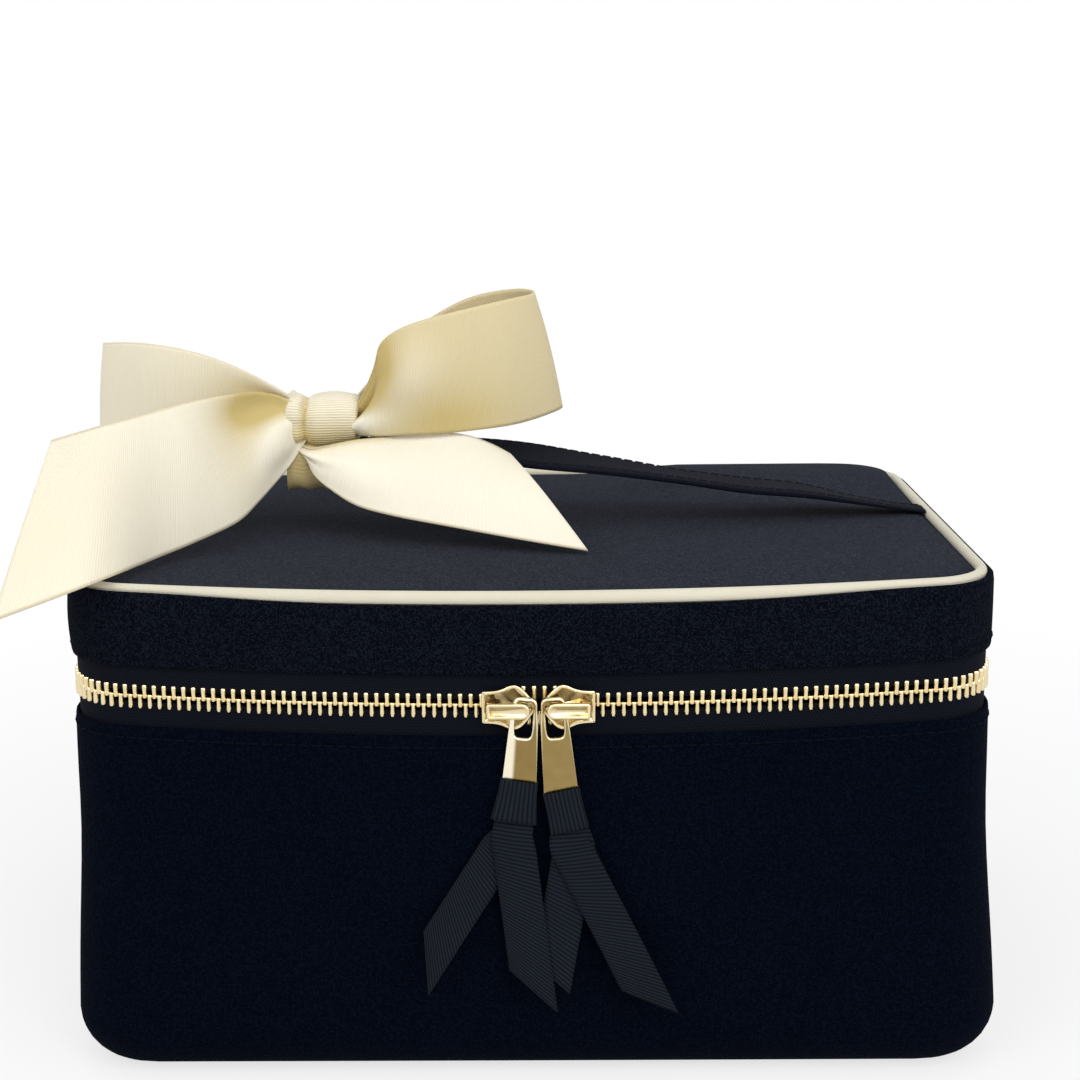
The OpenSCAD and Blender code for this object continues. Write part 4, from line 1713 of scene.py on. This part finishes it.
@dataclass
class Handle:
    """The canvas strap over the lid, sewn down at both ends, in two halves that meet in the knot.

    Attributes:
        width: the strap's width.
        thickness: its thickness.
        meet: X of the place in the knot where the halves meet.
        overlap: how far each half reaches past that place.
        gather_from: distance from the bag's middle at which the strap starts to narrow.
        gather_over: length over which it narrows to its ends.
        seam_in: from the strap's edge in to its stitches.
        seam_out: how far the stitches stand off the strap.
        left_bend: X of the left half's bend between the lid and the handle, from and to; read, but nothing
            bends the strap.
        right_bend: X of the right half's bend, from and to; read, but nothing bends the strap.
        bend_heights: heights of both bends, from and to; read, but not used.
        route: points of (x, y, z, roll) along the strap's middle, in millimetres and degrees.
    """

    width: float = 20 * MM
    thickness: float = 2.0 * MM
    meet: float = -56 * MM
    overlap: float = 2 * MM
    gather_from: float = 70 * MM
    gather_over: float = 40 * MM
    seam_in: float = 2.4 * MM
    seam_out: float = 0.02 * MM
    left_bend: tuple[float, float] = (-104 * MM, -80 * MM)
    right_bend: tuple[float, float] = (80 * MM, 45 * MM)
    bend_heights: tuple[float, float] = (0.128, 0.137)
    route: tuple[tuple[float, float, float, float], ...] = (
        (-110.6, 0, 124.6, 0), (-104, 0, 126.2, 0), (-92, 0, 132.4, 0), (-80, 0, 139.5, 0),
        (-70, 0, 144.2, 0), (-62, 0, 145.7, 0), (-50, 0, 145.9, 0), (-36, 0, 145.6, -4),
        (-18, 0, 144.6, -7), (0, 0, 142.6, -8), (20, 0.5, 139.6, -2), (40, 1.5, 136.2, 2),
        (57, 3, 133.6, 1), (75, 6, 131, 2), (92, 9.5, 127.6, 5), (104, 12, 125.5, 3),
        (110.6, 13, 124.6, 0),
    )

    def middle(self) -> tuple[list[Vector], list[float]]:
        """The strap's middle, from left to right.

        Returns:
            The points, and the roll at each in radians.
        """
        points = vectors([row[:3] for row in self.route])
        rolls = [Vector((row[3], 0.0, 0.0)) for row in self.route]
        shares = steps(0.0, 1.0, 128)
        return [curve_at(points, t) for t in shares], [math.radians(curve_at(rolls, t).x) for t in shares]

    def half(self, hand: Hand) -> tuple[list[Vector], list[float]]:
        """The strap's middle on one side of the knot, from the sewn end to the knot.

        Args:
            hand: which side.

        Returns:
            The points, and the strap's roll at each in radians.
        """
        points, rolls = self.middle()
        kept = [i for i, p in enumerate(points) if hand.value * (p.x - self.meet) >= -self.overlap]
        if hand is Hand.RIGHT:
            kept.reverse()
        return [points[i] for i in kept], [rolls[i] for i in kept]

    def section(self) -> list[tuple[float, float]]:
        """The strap's section, a flat strip with rounded edges and a faint hollow along its middle.

        Returns:
            Points of (across, up).
        """
        shape = []
        for a in steps(0.0, 2 * math.pi, 28):
            y = blunt(math.cos(a), 0.45) * self.width / 2
            z = blunt(math.sin(a), 0.6) * self.thickness / 2
            z *= 0.86 + 0.14 * min(1.0, abs(y) / (self.width / 2) * 1.3)
            shape.append((y, z))
        return shape

    def strap(self, hand: Hand, *nodes: str) -> None:
        """One half of the strap with its stitches.

        Args:
            hand: which half.
            nodes: the CAD nodes that it stands for.
        """
        name = f"strap_{hand.name.lower()}"
        points, rolls = self.half(hand)
        section = self.section()
        girth = running([Vector((y, z, 0.0)) for y, z in section])

        def spot(i: int, y: float, z: float) -> Vector:
            """A point of the strap.

            Args:
                i: the stop along the strap.
                y: across the strap from its middle.
                z: up from its middle.

            Returns:
                The point.
            """
            ahead, behind = points[min(i + 1, len(points) - 1)], points[max(i - 1, 0)]
            heading = (ahead - behind).normalized()
            heading *= math.copysign(1.0, heading.x)
            side = Vector((0.0, math.cos(rolls[i]), -math.sin(rolls[i])))
            up = heading.cross(side).normalized()
            ripple = 0.25 * MM * wobble(points[i], 22 * MM, 11.0)
            gathered = ease((abs(points[i].x) - self.gather_from) / self.gather_over)
            slack = ripple * (1.0 - gathered) - 0.5 * MM * gathered
            return points[i] + side * y * (1.0 - 0.55 * gathered) + up * (z * (1.0 - 0.5 * gathered) + slack)

        piece = lay_cloth(
            name, running(points), girth, lambda i, j: spot(i, *section[j]), weld=True, caps=lambda at: True
        )
        WEBBING.dress(piece)
        inset, proud = self.width / 2 - self.seam_in, self.thickness / 2 + self.seam_out
        seams = []
        for edge, y in (("front", -inset), ("back", inset)):
            line = [spot(i, y, proud) for i in range(len(points))]
            seams.append(sew(f"{name}_stitches_{edge}", line))
        STRAP_THREAD.dress(*seams)
        near, far = self.left_bend if hand is Hand.LEFT else self.right_bend
        low, high = self.bend_heights
        for part in (piece, *seams):
            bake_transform(part)
            settle(part, "", "canvas", *(nodes if part is piece else ()))

    def build(self) -> None:
        """Builds both halves."""
        self.strap(Hand.LEFT, "handle_end_left")
        self.strap(Hand.RIGHT, "handle_end_right", "handle_strap")


@dataclass(frozen=True)
class Swell:
    """A soft round place on a ribbon: a swelling or hollow of its face, or a spot of painted shade, or of
    painted highlight where negative, on its colour.

    Attributes:
        along: its middle, as a length from the knot.
        across: its middle, as a share of the width from the upper edge.
        length: its reach along the ribbon.
        width: its reach across, as a share of the width.
        height: how far it stands out, or how much painted shade it adds; negative for a hollow or for a
            painted highlight.
    """

    along: float
    across: float
    length: float
    width: float
    height: float

    def at(self, along: float, across: float) -> float:
        """Height at a length from the knot and a share of the width from the upper edge."""
        a, b = (along - self.along) / self.length, (across - self.across) / self.width
        return self.height * math.exp(-a * a - b * b)


@dataclass(frozen=True)
class Ribbon:
    """A stretch of the bow's ribbon between two edges, gathered where the knot holds it.

    Attributes:
        name: the piece's name.
        tops: points along its upper edge from the knot, in millimetres.
        lows: points along its lower edge.
        flat: its width and length when flat; not used.
        held: what holds its shape; not used.
        gather: height of the folds at the knot.
        folds: how many folds there are across it.
        reach: how far the folds run out.
        both_ends: whether the knot holds both of its ends.
        belly: how far its middle stands out.
        seed: shifts the folds, so that two ribbons differ.
        painted_shade: painted shade over the whole piece, from 0 to 1.
        swells: the swellings and hollows of its face.
        painted_shading: spots of painted shade and painted highlight on its colour.
        drift: height of its slow waves.
        drift_size: size of those waves.
        shade_from: height below which painted shade deepens a fold's colour.
        shade_over: how much lower that painted shade is full.
        shade_reach: distance from the knot over which that fades.
    """

    name: str
    tops: tuple[tuple[float, float, float], ...]
    lows: tuple[tuple[float, float, float], ...]
    flat: tuple[float, float]
    held: str
    gather: float = 1.6 * MM
    folds: float = 2.0
    reach: float = 16 * MM
    both_ends: bool = False
    belly: float = 0.0
    seed: float = 0.0
    painted_shade: float = 0.0
    swells: tuple[Swell, ...] = ()
    painted_shading: tuple[Swell, ...] = ()
    drift: float = 0.5 * MM
    drift_size: float = 26 * MM
    shade_from: float = 0.3 * MM
    shade_over: float = 2.2 * MM
    shade_reach: float = 26 * MM

    def build(self) -> Piece:
        """Lays the ribbon along its two edges, with its folds standing towards the front.

        Returns:
            The piece.
        """
        tops, lows = vectors(self.tops), vectors(self.lows)
        count, rows = 96, 32
        shares = steps(0.0, 1.0, count)
        high = [curve_at(tops, t) for t in shares]
        low = [curve_at(lows, t) for t in shares]
        middle = [(a + b) / 2 for a, b in zip(high, low)]
        along = running(middle)
        face = math.copysign(1.0, middle[0].x - middle[8].x)
        folded: list[float] = []

        def place(i: int, j: int) -> Vector:
            """Lays a point of the ribbon and notes how much painted shade it has there.

            Args:
                i: the stop along the ribbon.
                j: the stop across it.

            Returns:
                The point.
            """
            v = j / rows
            at = high[i].lerp(low[i], v)
            heading = middle[min(i + 1, count)] - middle[max(i - 1, 0)]
            out = heading.cross(low[i] - high[i]).normalized() * face
            near = along[i]
            if self.both_ends:
                near = min(near, along[-1] - along[i])
            hold = math.exp(-((near / self.reach) ** 1.5))
            wave = 2 * math.pi * self.folds * v + self.seed
            fold = self.gather * hold * (math.sin(wave) + 0.4 * math.sin(2.3 * wave + 1.0))
            fold += sum(swell.at(along[i], v) for swell in self.swells)
            belly = self.belly * math.sin(math.pi * v) * (1.0 - hold)
            drift = self.drift * wobble(at, self.drift_size, self.seed) * (1.0 - hold)
            # Painted shade in the hollows near the knot, plus the spots of painted shade and painted
            # highlight, over the piece's painted shade everywhere.
            deep = (self.shade_from - fold) / self.shade_over * math.exp(-((near / self.shade_reach) ** 2))
            deep += sum(recolour.at(along[i], v) for recolour in self.painted_shading)
            folded.append(min(max(self.painted_shade + deep, 0.0), 1.0))
            return at + out * (fold + belly + drift)

        piece = lay_cloth(self.name, along, steps(0.0, BOW_RIBBON.width, rows), place)
        mark_painted_shade(piece, folded)
        thicken(piece, RIBBON_THICKNESS)
        BOW_RIBBON.dress(piece)
        return piece


@dataclass
class Bow:
    """The ribbon bow tied round the strap: knot, wrap, two loops and two tails.

    Attributes:
        knot_at: the knot's middle.
        knot_r: the knot's radius.
        valley_shade_x: X of the valley beside the knot's lip, which gets painted shade, in millimetres from
            the knot's middle.
        wrap_girth: length of the ribbon's turn round the strap.
        wrap_half: half the width of that turn.
        wrap_z: height of its middle, in millimetres.
        wrap_painted_shade: how much painted shade the turn has, from 0 to 1.
    """

    knot_at: Vector = field(default_factory=lambda: Vector((-56.4, -6.0, 153.7)) * MM)
    knot_r: float = 8.0 * MM
    valley_shade_x: float = -4.3
    wrap_girth: float = 62 * MM
    wrap_half: float = 8.5 * MM
    wrap_z: float = 142.2
    wrap_painted_shade: float = 0.9

    def loops(self) -> list[Ribbon]:
        """The two loops, each from the knot round its fold and back.

        Returns:
            The right loop and the left one.
        """
        # The warmth and stains below are painted shade and painted highlights on the loops' colour.
        right = Ribbon(
            "bow_right_loop",
            ((-51.8, -6, 156.1), (-46.9, -10, 158.3), (-42, -13.5, 168.7), (-39.7, -14.5, 175.1),
             (-35.4, -15, 178.8), (-29, -15, 181.4), (-19.7, -14, 183.7), (-7.9, -9.5, 186),
             (1, 0, 187.3), (-4, 8, 187.7), (-15.6, 11.5, 185.6), (-25.5, 10.5, 181.1),
             (-34.7, 7, 174.6), (-42.1, 3, 165.8), (-48.9, -2, 157.7)),
            ((-51.9, -6, 151.2), (-48.2, -10, 150.7), (-44.1, -13.5, 150.7), (-39.1, -15, 150.9),
             (-33.4, -16, 151.3), (-26.8, -16, 151.5), (-17.1, -14.5, 152), (-2.9, -10, 153.3),
             (8.2, 0, 155.8), (3.1, 8, 155.8), (-9, 11.5, 153.4), (-21.6, 10.5, 150.8),
             (-32.6, 7, 149.8), (-42, 3, 149.7), (-49.7, -2, 150.5)),
            (36 * MM, 123 * MM), "folded", gather=1.3 * MM, folds=1.4, reach=13 * MM, both_ends=True,
            belly=0.8 * MM, seed=1.0, painted_shade=0.66,
            swells=(
                Swell(13 * MM, 0.3, 9 * MM, 0.3, -2.6 * MM),
                Swell(27 * MM, 0.45, 9 * MM, 0.3, 2.0 * MM),
                Swell(9 * MM, 0.75, 6 * MM, 0.16, 1.4 * MM),
            ),
            painted_shading=(
                Swell(16 * MM, 0.3, 8 * MM, 0.3, 0.5),
                Swell(13 * MM, 0.82, 9 * MM, 0.16, -0.6),
                Swell(36 * MM, 0.9, 14 * MM, 0.25, 0.3),
            ),
        )
        left = Ribbon(
            "bow_left_loop",
            ((-61.2, -6, 158.9), (-64, -9, 160.9), (-72.9, -12, 166.7), (-81.9, -13, 171.1),
             (-90.2, -13, 173.8), (-99.1, -11, 175.3), (-107.3, -7, 175.6), (-116, 0, 174.7),
             (-112.2, 7, 173.6), (-103.8, 10, 171.8), (-92, 9, 168.8), (-77.5, 4, 163.7),
             (-63.6, -2, 158.4)),
            ((-61.5, -6, 150.7), (-65.2, -9, 149.6), (-73.4, -12, 148.5), (-83, -13, 146.6),
             (-91.7, -13, 144.8), (-100.9, -11, 142.8), (-109.5, -7, 141.1), (-118.4, 0, 139.6),
             (-114.2, 7, 139.4), (-105.5, 10, 140.5), (-93.4, 9, 142.9), (-78.3, 4, 146.4),
             (-64, -2, 150.1)),
            (36 * MM, 127 * MM), "folded", gather=1.2 * MM, folds=1.5, reach=12 * MM, both_ends=True,
            belly=0.8 * MM, seed=2.4, painted_shade=0.2, swells=(Swell(16 * MM, 0.5, 10 * MM, 0.3, -1.2 * MM),),
            painted_shading=(Swell(10 * MM, 0.5, 14 * MM, 0.6, 0.25),),
        )
        return [right, left]

    def tails(self) -> list[Ribbon]:
        """The two tails: one over the front left corner, one on the lid.

        Returns:
            The left tail and the right one.
        """
        # The warmth and stains below are painted shade and painted highlights on the tails' colour.
        left = Ribbon(
            "bow_left_tail",
            ((-60, -10, 158.2), (-63.9, -11.5, 160), (-67.9, -14, 162.3), (-72.9, -19, 163.6),
             (-80.1, -25, 163.5), (-87.7, -31, 162.7), (-94.4, -36, 161.4), (-105.9, -45, 159.1),
             (-117.3, -53, 156.6)),
            ((-61, -10.5, 149), (-64, -12, 144.5), (-67.6, -17, 140.1), (-71.9, -25, 135.2),
             (-76.3, -32.5, 131.4), (-84.7, -42, 128.6), (-92.9, -53, 126.8), (-104.4, -77.5, 125.7),
             (-124.7, -86, 119.5)),
            (38 * MM, 90 * MM), "gathered", gather=0.9 * MM, folds=1.2, reach=10 * MM,
            belly=0.8 * MM, seed=0.4, painted_shade=0.04,
            swells=(
                Swell(16 * MM, 0.16, 11 * MM, 0.2, -3.0 * MM),
                Swell(9 * MM, 0.55, 8 * MM, 0.24, 2.6 * MM),
                Swell(25 * MM, 0.45, 10 * MM, 0.3, -1.2 * MM),
            ),
            painted_shading=(Swell(12 * MM, 0.08, 18 * MM, 0.24, 0.65), Swell(85 * MM, 0.6, 26 * MM, 0.8, 0.15)),
        )
        right = Ribbon(
            "bow_right_tail",
            ((-63, -9, 148.5), (-59, -13.5, 147.6), (-53, -14.8, 148.8), (-46, -15, 150),
             (-36.3, -14, 150.5), (-25.7, -13, 151.3), (-17.2, -13.5, 150.5), (-10.9, -14, 148.4),
             (-5.6, -15, 145.8)),
            ((-63, -9.5, 146), (-60, -14.5, 144), (-57.9, -17, 140.9), (-53.9, -20.5, 138.1),
             (-46, -26, 134.2), (-37, -30.5, 132.5), (-25, -34.5, 131.0), (-7.8, -39, 128.6),
             (14.7, -43, 125.4)),
            (28 * MM, 74 * MM), "gathered", gather=0.7 * MM, folds=1.5, reach=12 * MM,
            belly=1.4 * MM, seed=3.1,
            swells=(Swell(24 * MM, 0.72, 14 * MM, 0.25, 1.2 * MM),),
            painted_shading=(Swell(14 * MM, 0.0, 12 * MM, 0.08, 0.8),),
        )
        return [left, right]

    def knot(self) -> Piece:
        """The knot: the ribbon drawn round the loops, with a crumpled lip at its left.

        Returns:
            The piece.
        """
        profile = (
            (-9.4, 5.4), (-10.1, 6.4), (-9.9, 7.4), (-8.8, 8.1), (-7.6, 7.7), (-6.4, 8.0), (-5.2, 7.6),
            (-4.3, 6.6), (-3.2, 7.3), (-1.0, 7.8), (1.2, 7.9), (3.4, 7.9), (5.6, 7.8), (7.6, 7.6),
            (9.2, 7.2), (9.8, 6.4), (9.4, 5.4),
        )
        around = 72
        girth = steps(0.0, 2 * math.pi * self.knot_r, around)
        across = [2 * MM + d for d in running([Vector((x, r, 0.0)) * MM for x, r in profile])]

        def place(i: int, j: int) -> Vector:
            """Lays a point of the knot.

            Args:
                i: the stop round it.
                j: the stop across it.

            Returns:
                The point.
            """
            a = 2 * math.pi * (i % around) / around
            x, r = profile[j]
            crumple = ease((-1.5 - x) / 4.5)
            rough = wobble(Vector((x, 7 * math.cos(a), 7 * math.sin(a))) * MM, 4.6 * MM, 4.0)
            crease = 1.0 + 0.025 * math.sin(2 * a + 0.5 * x) + 0.24 * crumple * rough
            across_knot = x + 0.6 * math.cos(a) + 0.8 * crumple * rough
            arm = Vector((across_knot, r * crease * math.sin(a), r * crease * math.cos(a)))
            return self.knot_at + arm * MM

        piece = lay_cloth("bow_knot_wrap", girth, across, place, weld=True)
        # Painted shade: the knot's colour deepens on its lower half, in the valley beside the lip and where
        # its face sinks in.
        folded = []
        for vert in piece.data.vertices:
            away = (vert.co - self.knot_at) / MM
            size = math.hypot(away.y, away.z)
            valley = math.exp(-(((away.x - self.valley_shade_x) / 1.1) ** 2)) + ease((7.4 - size) / 1.2)
            folded.append(min(0.95 * ease(0.4 - 0.6 * away.z / size) + 0.55 * valley, 1.0))
        mark_painted_shade(piece, folded)
        thicken(piece, RIBBON_THICKNESS, -1.0)
        SHADED_KNOT_RIBBON.dress(piece)
        return piece

    def wrap(self) -> Piece:
        """The ribbon's turn round the strap, under the knot.

        Returns:
            The piece.
        """
        around, rows = 48, 8
        girth = steps(0.0, self.wrap_girth, around)
        across = steps(-self.wrap_half, self.wrap_half, rows)

        def place(i: int, j: int) -> Vector:
            """Lays a point of the turn.

            Args:
                i: the stop round the strap.
                j: the stop along it.

            Returns:
                The point.
            """
            a = 2 * math.pi * (i % around) / around
            y = blunt(math.cos(a), 0.55) * 12.0 - 0.4
            z = self.wrap_z + blunt(math.sin(a), 0.6) * 7.4
            crease = 0.35 * math.sin(1.9 * across[j] / MM + 2 * a)
            return Vector((self.knot_at.x + across[j] - 1 * MM, (y + 0.5 * crease) * MM, (z + crease) * MM))

        map_v = [BOW_RIBBON.width / 2 + v for v in across]
        piece = lay_cloth("bow_strap_turn", girth, map_v, place, weld=True)
        # Painted shade: the whole turn takes most of the fold colour, for the shade under the knot.
        mark_painted_shade(piece, [self.wrap_painted_shade] * len(piece.data.vertices))
        thicken(piece, RIBBON_THICKNESS, -1.0)
        BOW_RIBBON.dress(piece)
        return piece

    def build(self) -> None:
        """Builds the bow and puts its knot, turn and loops on the handle; the tails are left on no body."""
        settle(self.knot(), "handle", "bow_ribbon", "bow_knot")
        settle(self.wrap(), "handle", "bow_ribbon")
        for loop, node in zip(self.loops(), ("bow_loop_right", "bow_loop_left")):
            piece = loop.build()
            settle(piece, "handle", "bow_ribbon", node)
        for tail, node in zip(self.tails(), ("bow_tail_left", "bow_tail_right")):
            piece = tail.build()
            tip = vectors(tail.lows)[-1]
            tuple(self.knot_at)
            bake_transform(piece)
            settle(piece, "", "bow_ribbon", node)


@dataclass
class Studio:
    """The pale floor, the soft light and the camera.

    Attributes:
        eye: the camera's place.
        pitch: how far it looks down, in degrees.
        yaw: how far it is turned to the right, in degrees.
        roll: how far it is rolled, in degrees.
        focal: its focal length, as a share of the picture's width.
        ambient: strength of the plain light on the bag.
        aim: height of the place that the lamps point at.
        shadow_near: distance from the bag's middle up to which the floor shows its shadow most.
        shadow_far: distance at which the floor is plain white.
        shadow_white: share of plain white at the nearer of the two.
    """

    eye: Vector = field(default_factory=lambda: Vector((8.35, -493.4, 229.25)) * MM)
    pitch: float = 12.613
    yaw: float = -0.74
    roll: float = -0.583
    focal: float = 1817.5 / 1080.0
    ambient: float = 0.42
    aim: float = 0.09
    shadow_near: float = 0.14
    shadow_far: float = 0.42
    shadow_white: float = 0.72

    def camera(self) -> None:
        """Makes the camera at the photograph's place."""
        data = bpy.data.cameras.new("photo_camera")
        data.sensor_fit = "HORIZONTAL"
        data.sensor_width = 36.0
        data.lens = data.sensor_width * self.focal
        data.clip_start = 0.01
        camera = bpy.data.objects.new("photo_camera", data)
        pitch, yaw, roll = (math.radians(v) for v in (self.pitch, self.yaw, self.roll))
        ahead = Vector((math.sin(yaw) * math.cos(pitch), math.cos(yaw) * math.cos(pitch), -math.sin(pitch)))
        right = ahead.cross(Vector((0.0, 0.0, 1.0))).normalized()
        up = right.cross(ahead)
        side = right * math.cos(roll) + up * math.sin(roll)
        top = up * math.cos(roll) - right * math.sin(roll)
        turn = Matrix((side, top, -ahead)).transposed().to_4x4()
        camera.matrix_world = Matrix.Translation(self.eye) @ turn
        bpy.context.scene.collection.objects.link(camera)
        bpy.context.scene.camera = camera

    def floor(self) -> None:
        """Makes the floor, which shows white but keeps the bag's shadow."""
        bm = bmesh.new()
        bmesh.ops.create_grid(bm, x_segments=1, y_segments=1, size=6.0)
        bmesh.ops.translate(bm, verts=bm.verts, vec=(0.0, 0.0, -0.4 * MM))
        floor = new_object("floor", bm)
        material = bpy.data.materials.new("white_floor")
        material.use_nodes = True
        g = Graph(material.node_tree)
        shader = material.node_tree.nodes["Principled BSDF"]
        shader.inputs["Base Color"].default_value = (0.9, 0.9, 0.9, 1.0)
        shader.inputs["Roughness"].default_value = 0.9
        shader.inputs["Specular IOR Level"].default_value = 0.0
        place = g.add("ShaderNodeTexCoord").outputs["Object"]
        away = g.add("ShaderNodeVectorMath", {0: place}, operation="LENGTH").outputs["Value"]
        ends = {1: self.shadow_near, 2: self.shadow_far, 3: self.shadow_white, 4: 1.0}
        fade = g.add("ShaderNodeMapRange", {"Value": away, **ends}).outputs[0]
        share = g.math("MULTIPLY", self.seen(g), fade)
        glow = g.add("ShaderNodeEmission", {"Strength": 1.0})
        both = g.add("ShaderNodeMixShader", {0: share, 1: shader.outputs[0], 2: glow.outputs[0]})
        g.tree.links.new(both.outputs[0], material.node_tree.nodes["Material Output"].inputs["Surface"])
        floor.data.materials.append(material)

    @staticmethod
    def seen(g: Graph) -> Socket:
        """One where a ray comes from the camera, or from shiny or clear things, else nought.

        Args:
            g: the graph that the nodes are added to.

        Returns:
            The value's socket.
        """
        path = g.add("ShaderNodeLightPath")
        direct = g.math("MAXIMUM", path.outputs["Is Camera Ray"], path.outputs["Is Transmission Ray"])
        return g.math("MAXIMUM", direct, path.outputs["Is Glossy Ray"])

    def sky(self) -> None:
        """Makes the world: white to the camera and to reflections, plain light on the bag."""
        world = bpy.data.worlds.new("soft_white")
        bpy.context.scene.world = world
        world.use_nodes = True
        g = Graph(world.node_tree)
        backdrop = world.node_tree.nodes["Background"]
        strength = g.math("ADD", g.math("MULTIPLY", self.seen(g), 1.0 - self.ambient), self.ambient)
        backdrop.inputs["Color"].default_value = (1.0, 1.0, 1.0, 1.0)
        g.tree.links.new(strength, backdrop.inputs["Strength"])

    def lamp(self, name: str, at: tuple[float, float, float], size: float, power: float) -> None:
        """Makes a soft square lamp that points at the bag.

        Args:
            name: the lamp's name.
            at: its place, in metres.
            size: its side, in metres.
            power: in watts.
        """
        data = bpy.data.lights.new(name, "AREA")
        data.size = size
        data.energy = power
        lamp = bpy.data.objects.new(name, data)
        lamp.location = at
        heading = Vector((0.0, 0.0, self.aim)) - Vector(at)
        lamp.rotation_euler = heading.to_track_quat("-Z", "Y").to_euler()
        bpy.context.scene.collection.objects.link(lamp)

    def build(self) -> None:
        """Sets up the whole studio."""
        bpy.context.scene.view_settings.view_transform = "Standard"
        self.camera()
        self.floor()
        self.sky()
        self.lamp("top", (-0.15, 0.15, 1.2), 1.1, 3.1)
        self.lamp("key", (0.35, -1.0, 1.0), 0.8, 6.4)
        self.lamp("side", (-0.8, -0.8, 0.9), 0.8, 4.8)
        self.lamp("fill", (0.9, -0.7, 0.6), 0.8, 3.5)


def main() -> None:
    """Loads the frame, builds every sub-assembly in order and logs each piece's face count."""
    logging.basicConfig(level=logging.INFO, format="%(name)s: %(message)s")
    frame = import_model()
    bag = Bag()
    Studio().build()
    Box(bag).build(frame["nodes"])
    Lid(bag).build(frame["nodes"])
    Zip(bag).build()
    Handle().build()
    Bow().build()


if __name__ == "__main__":
    main()
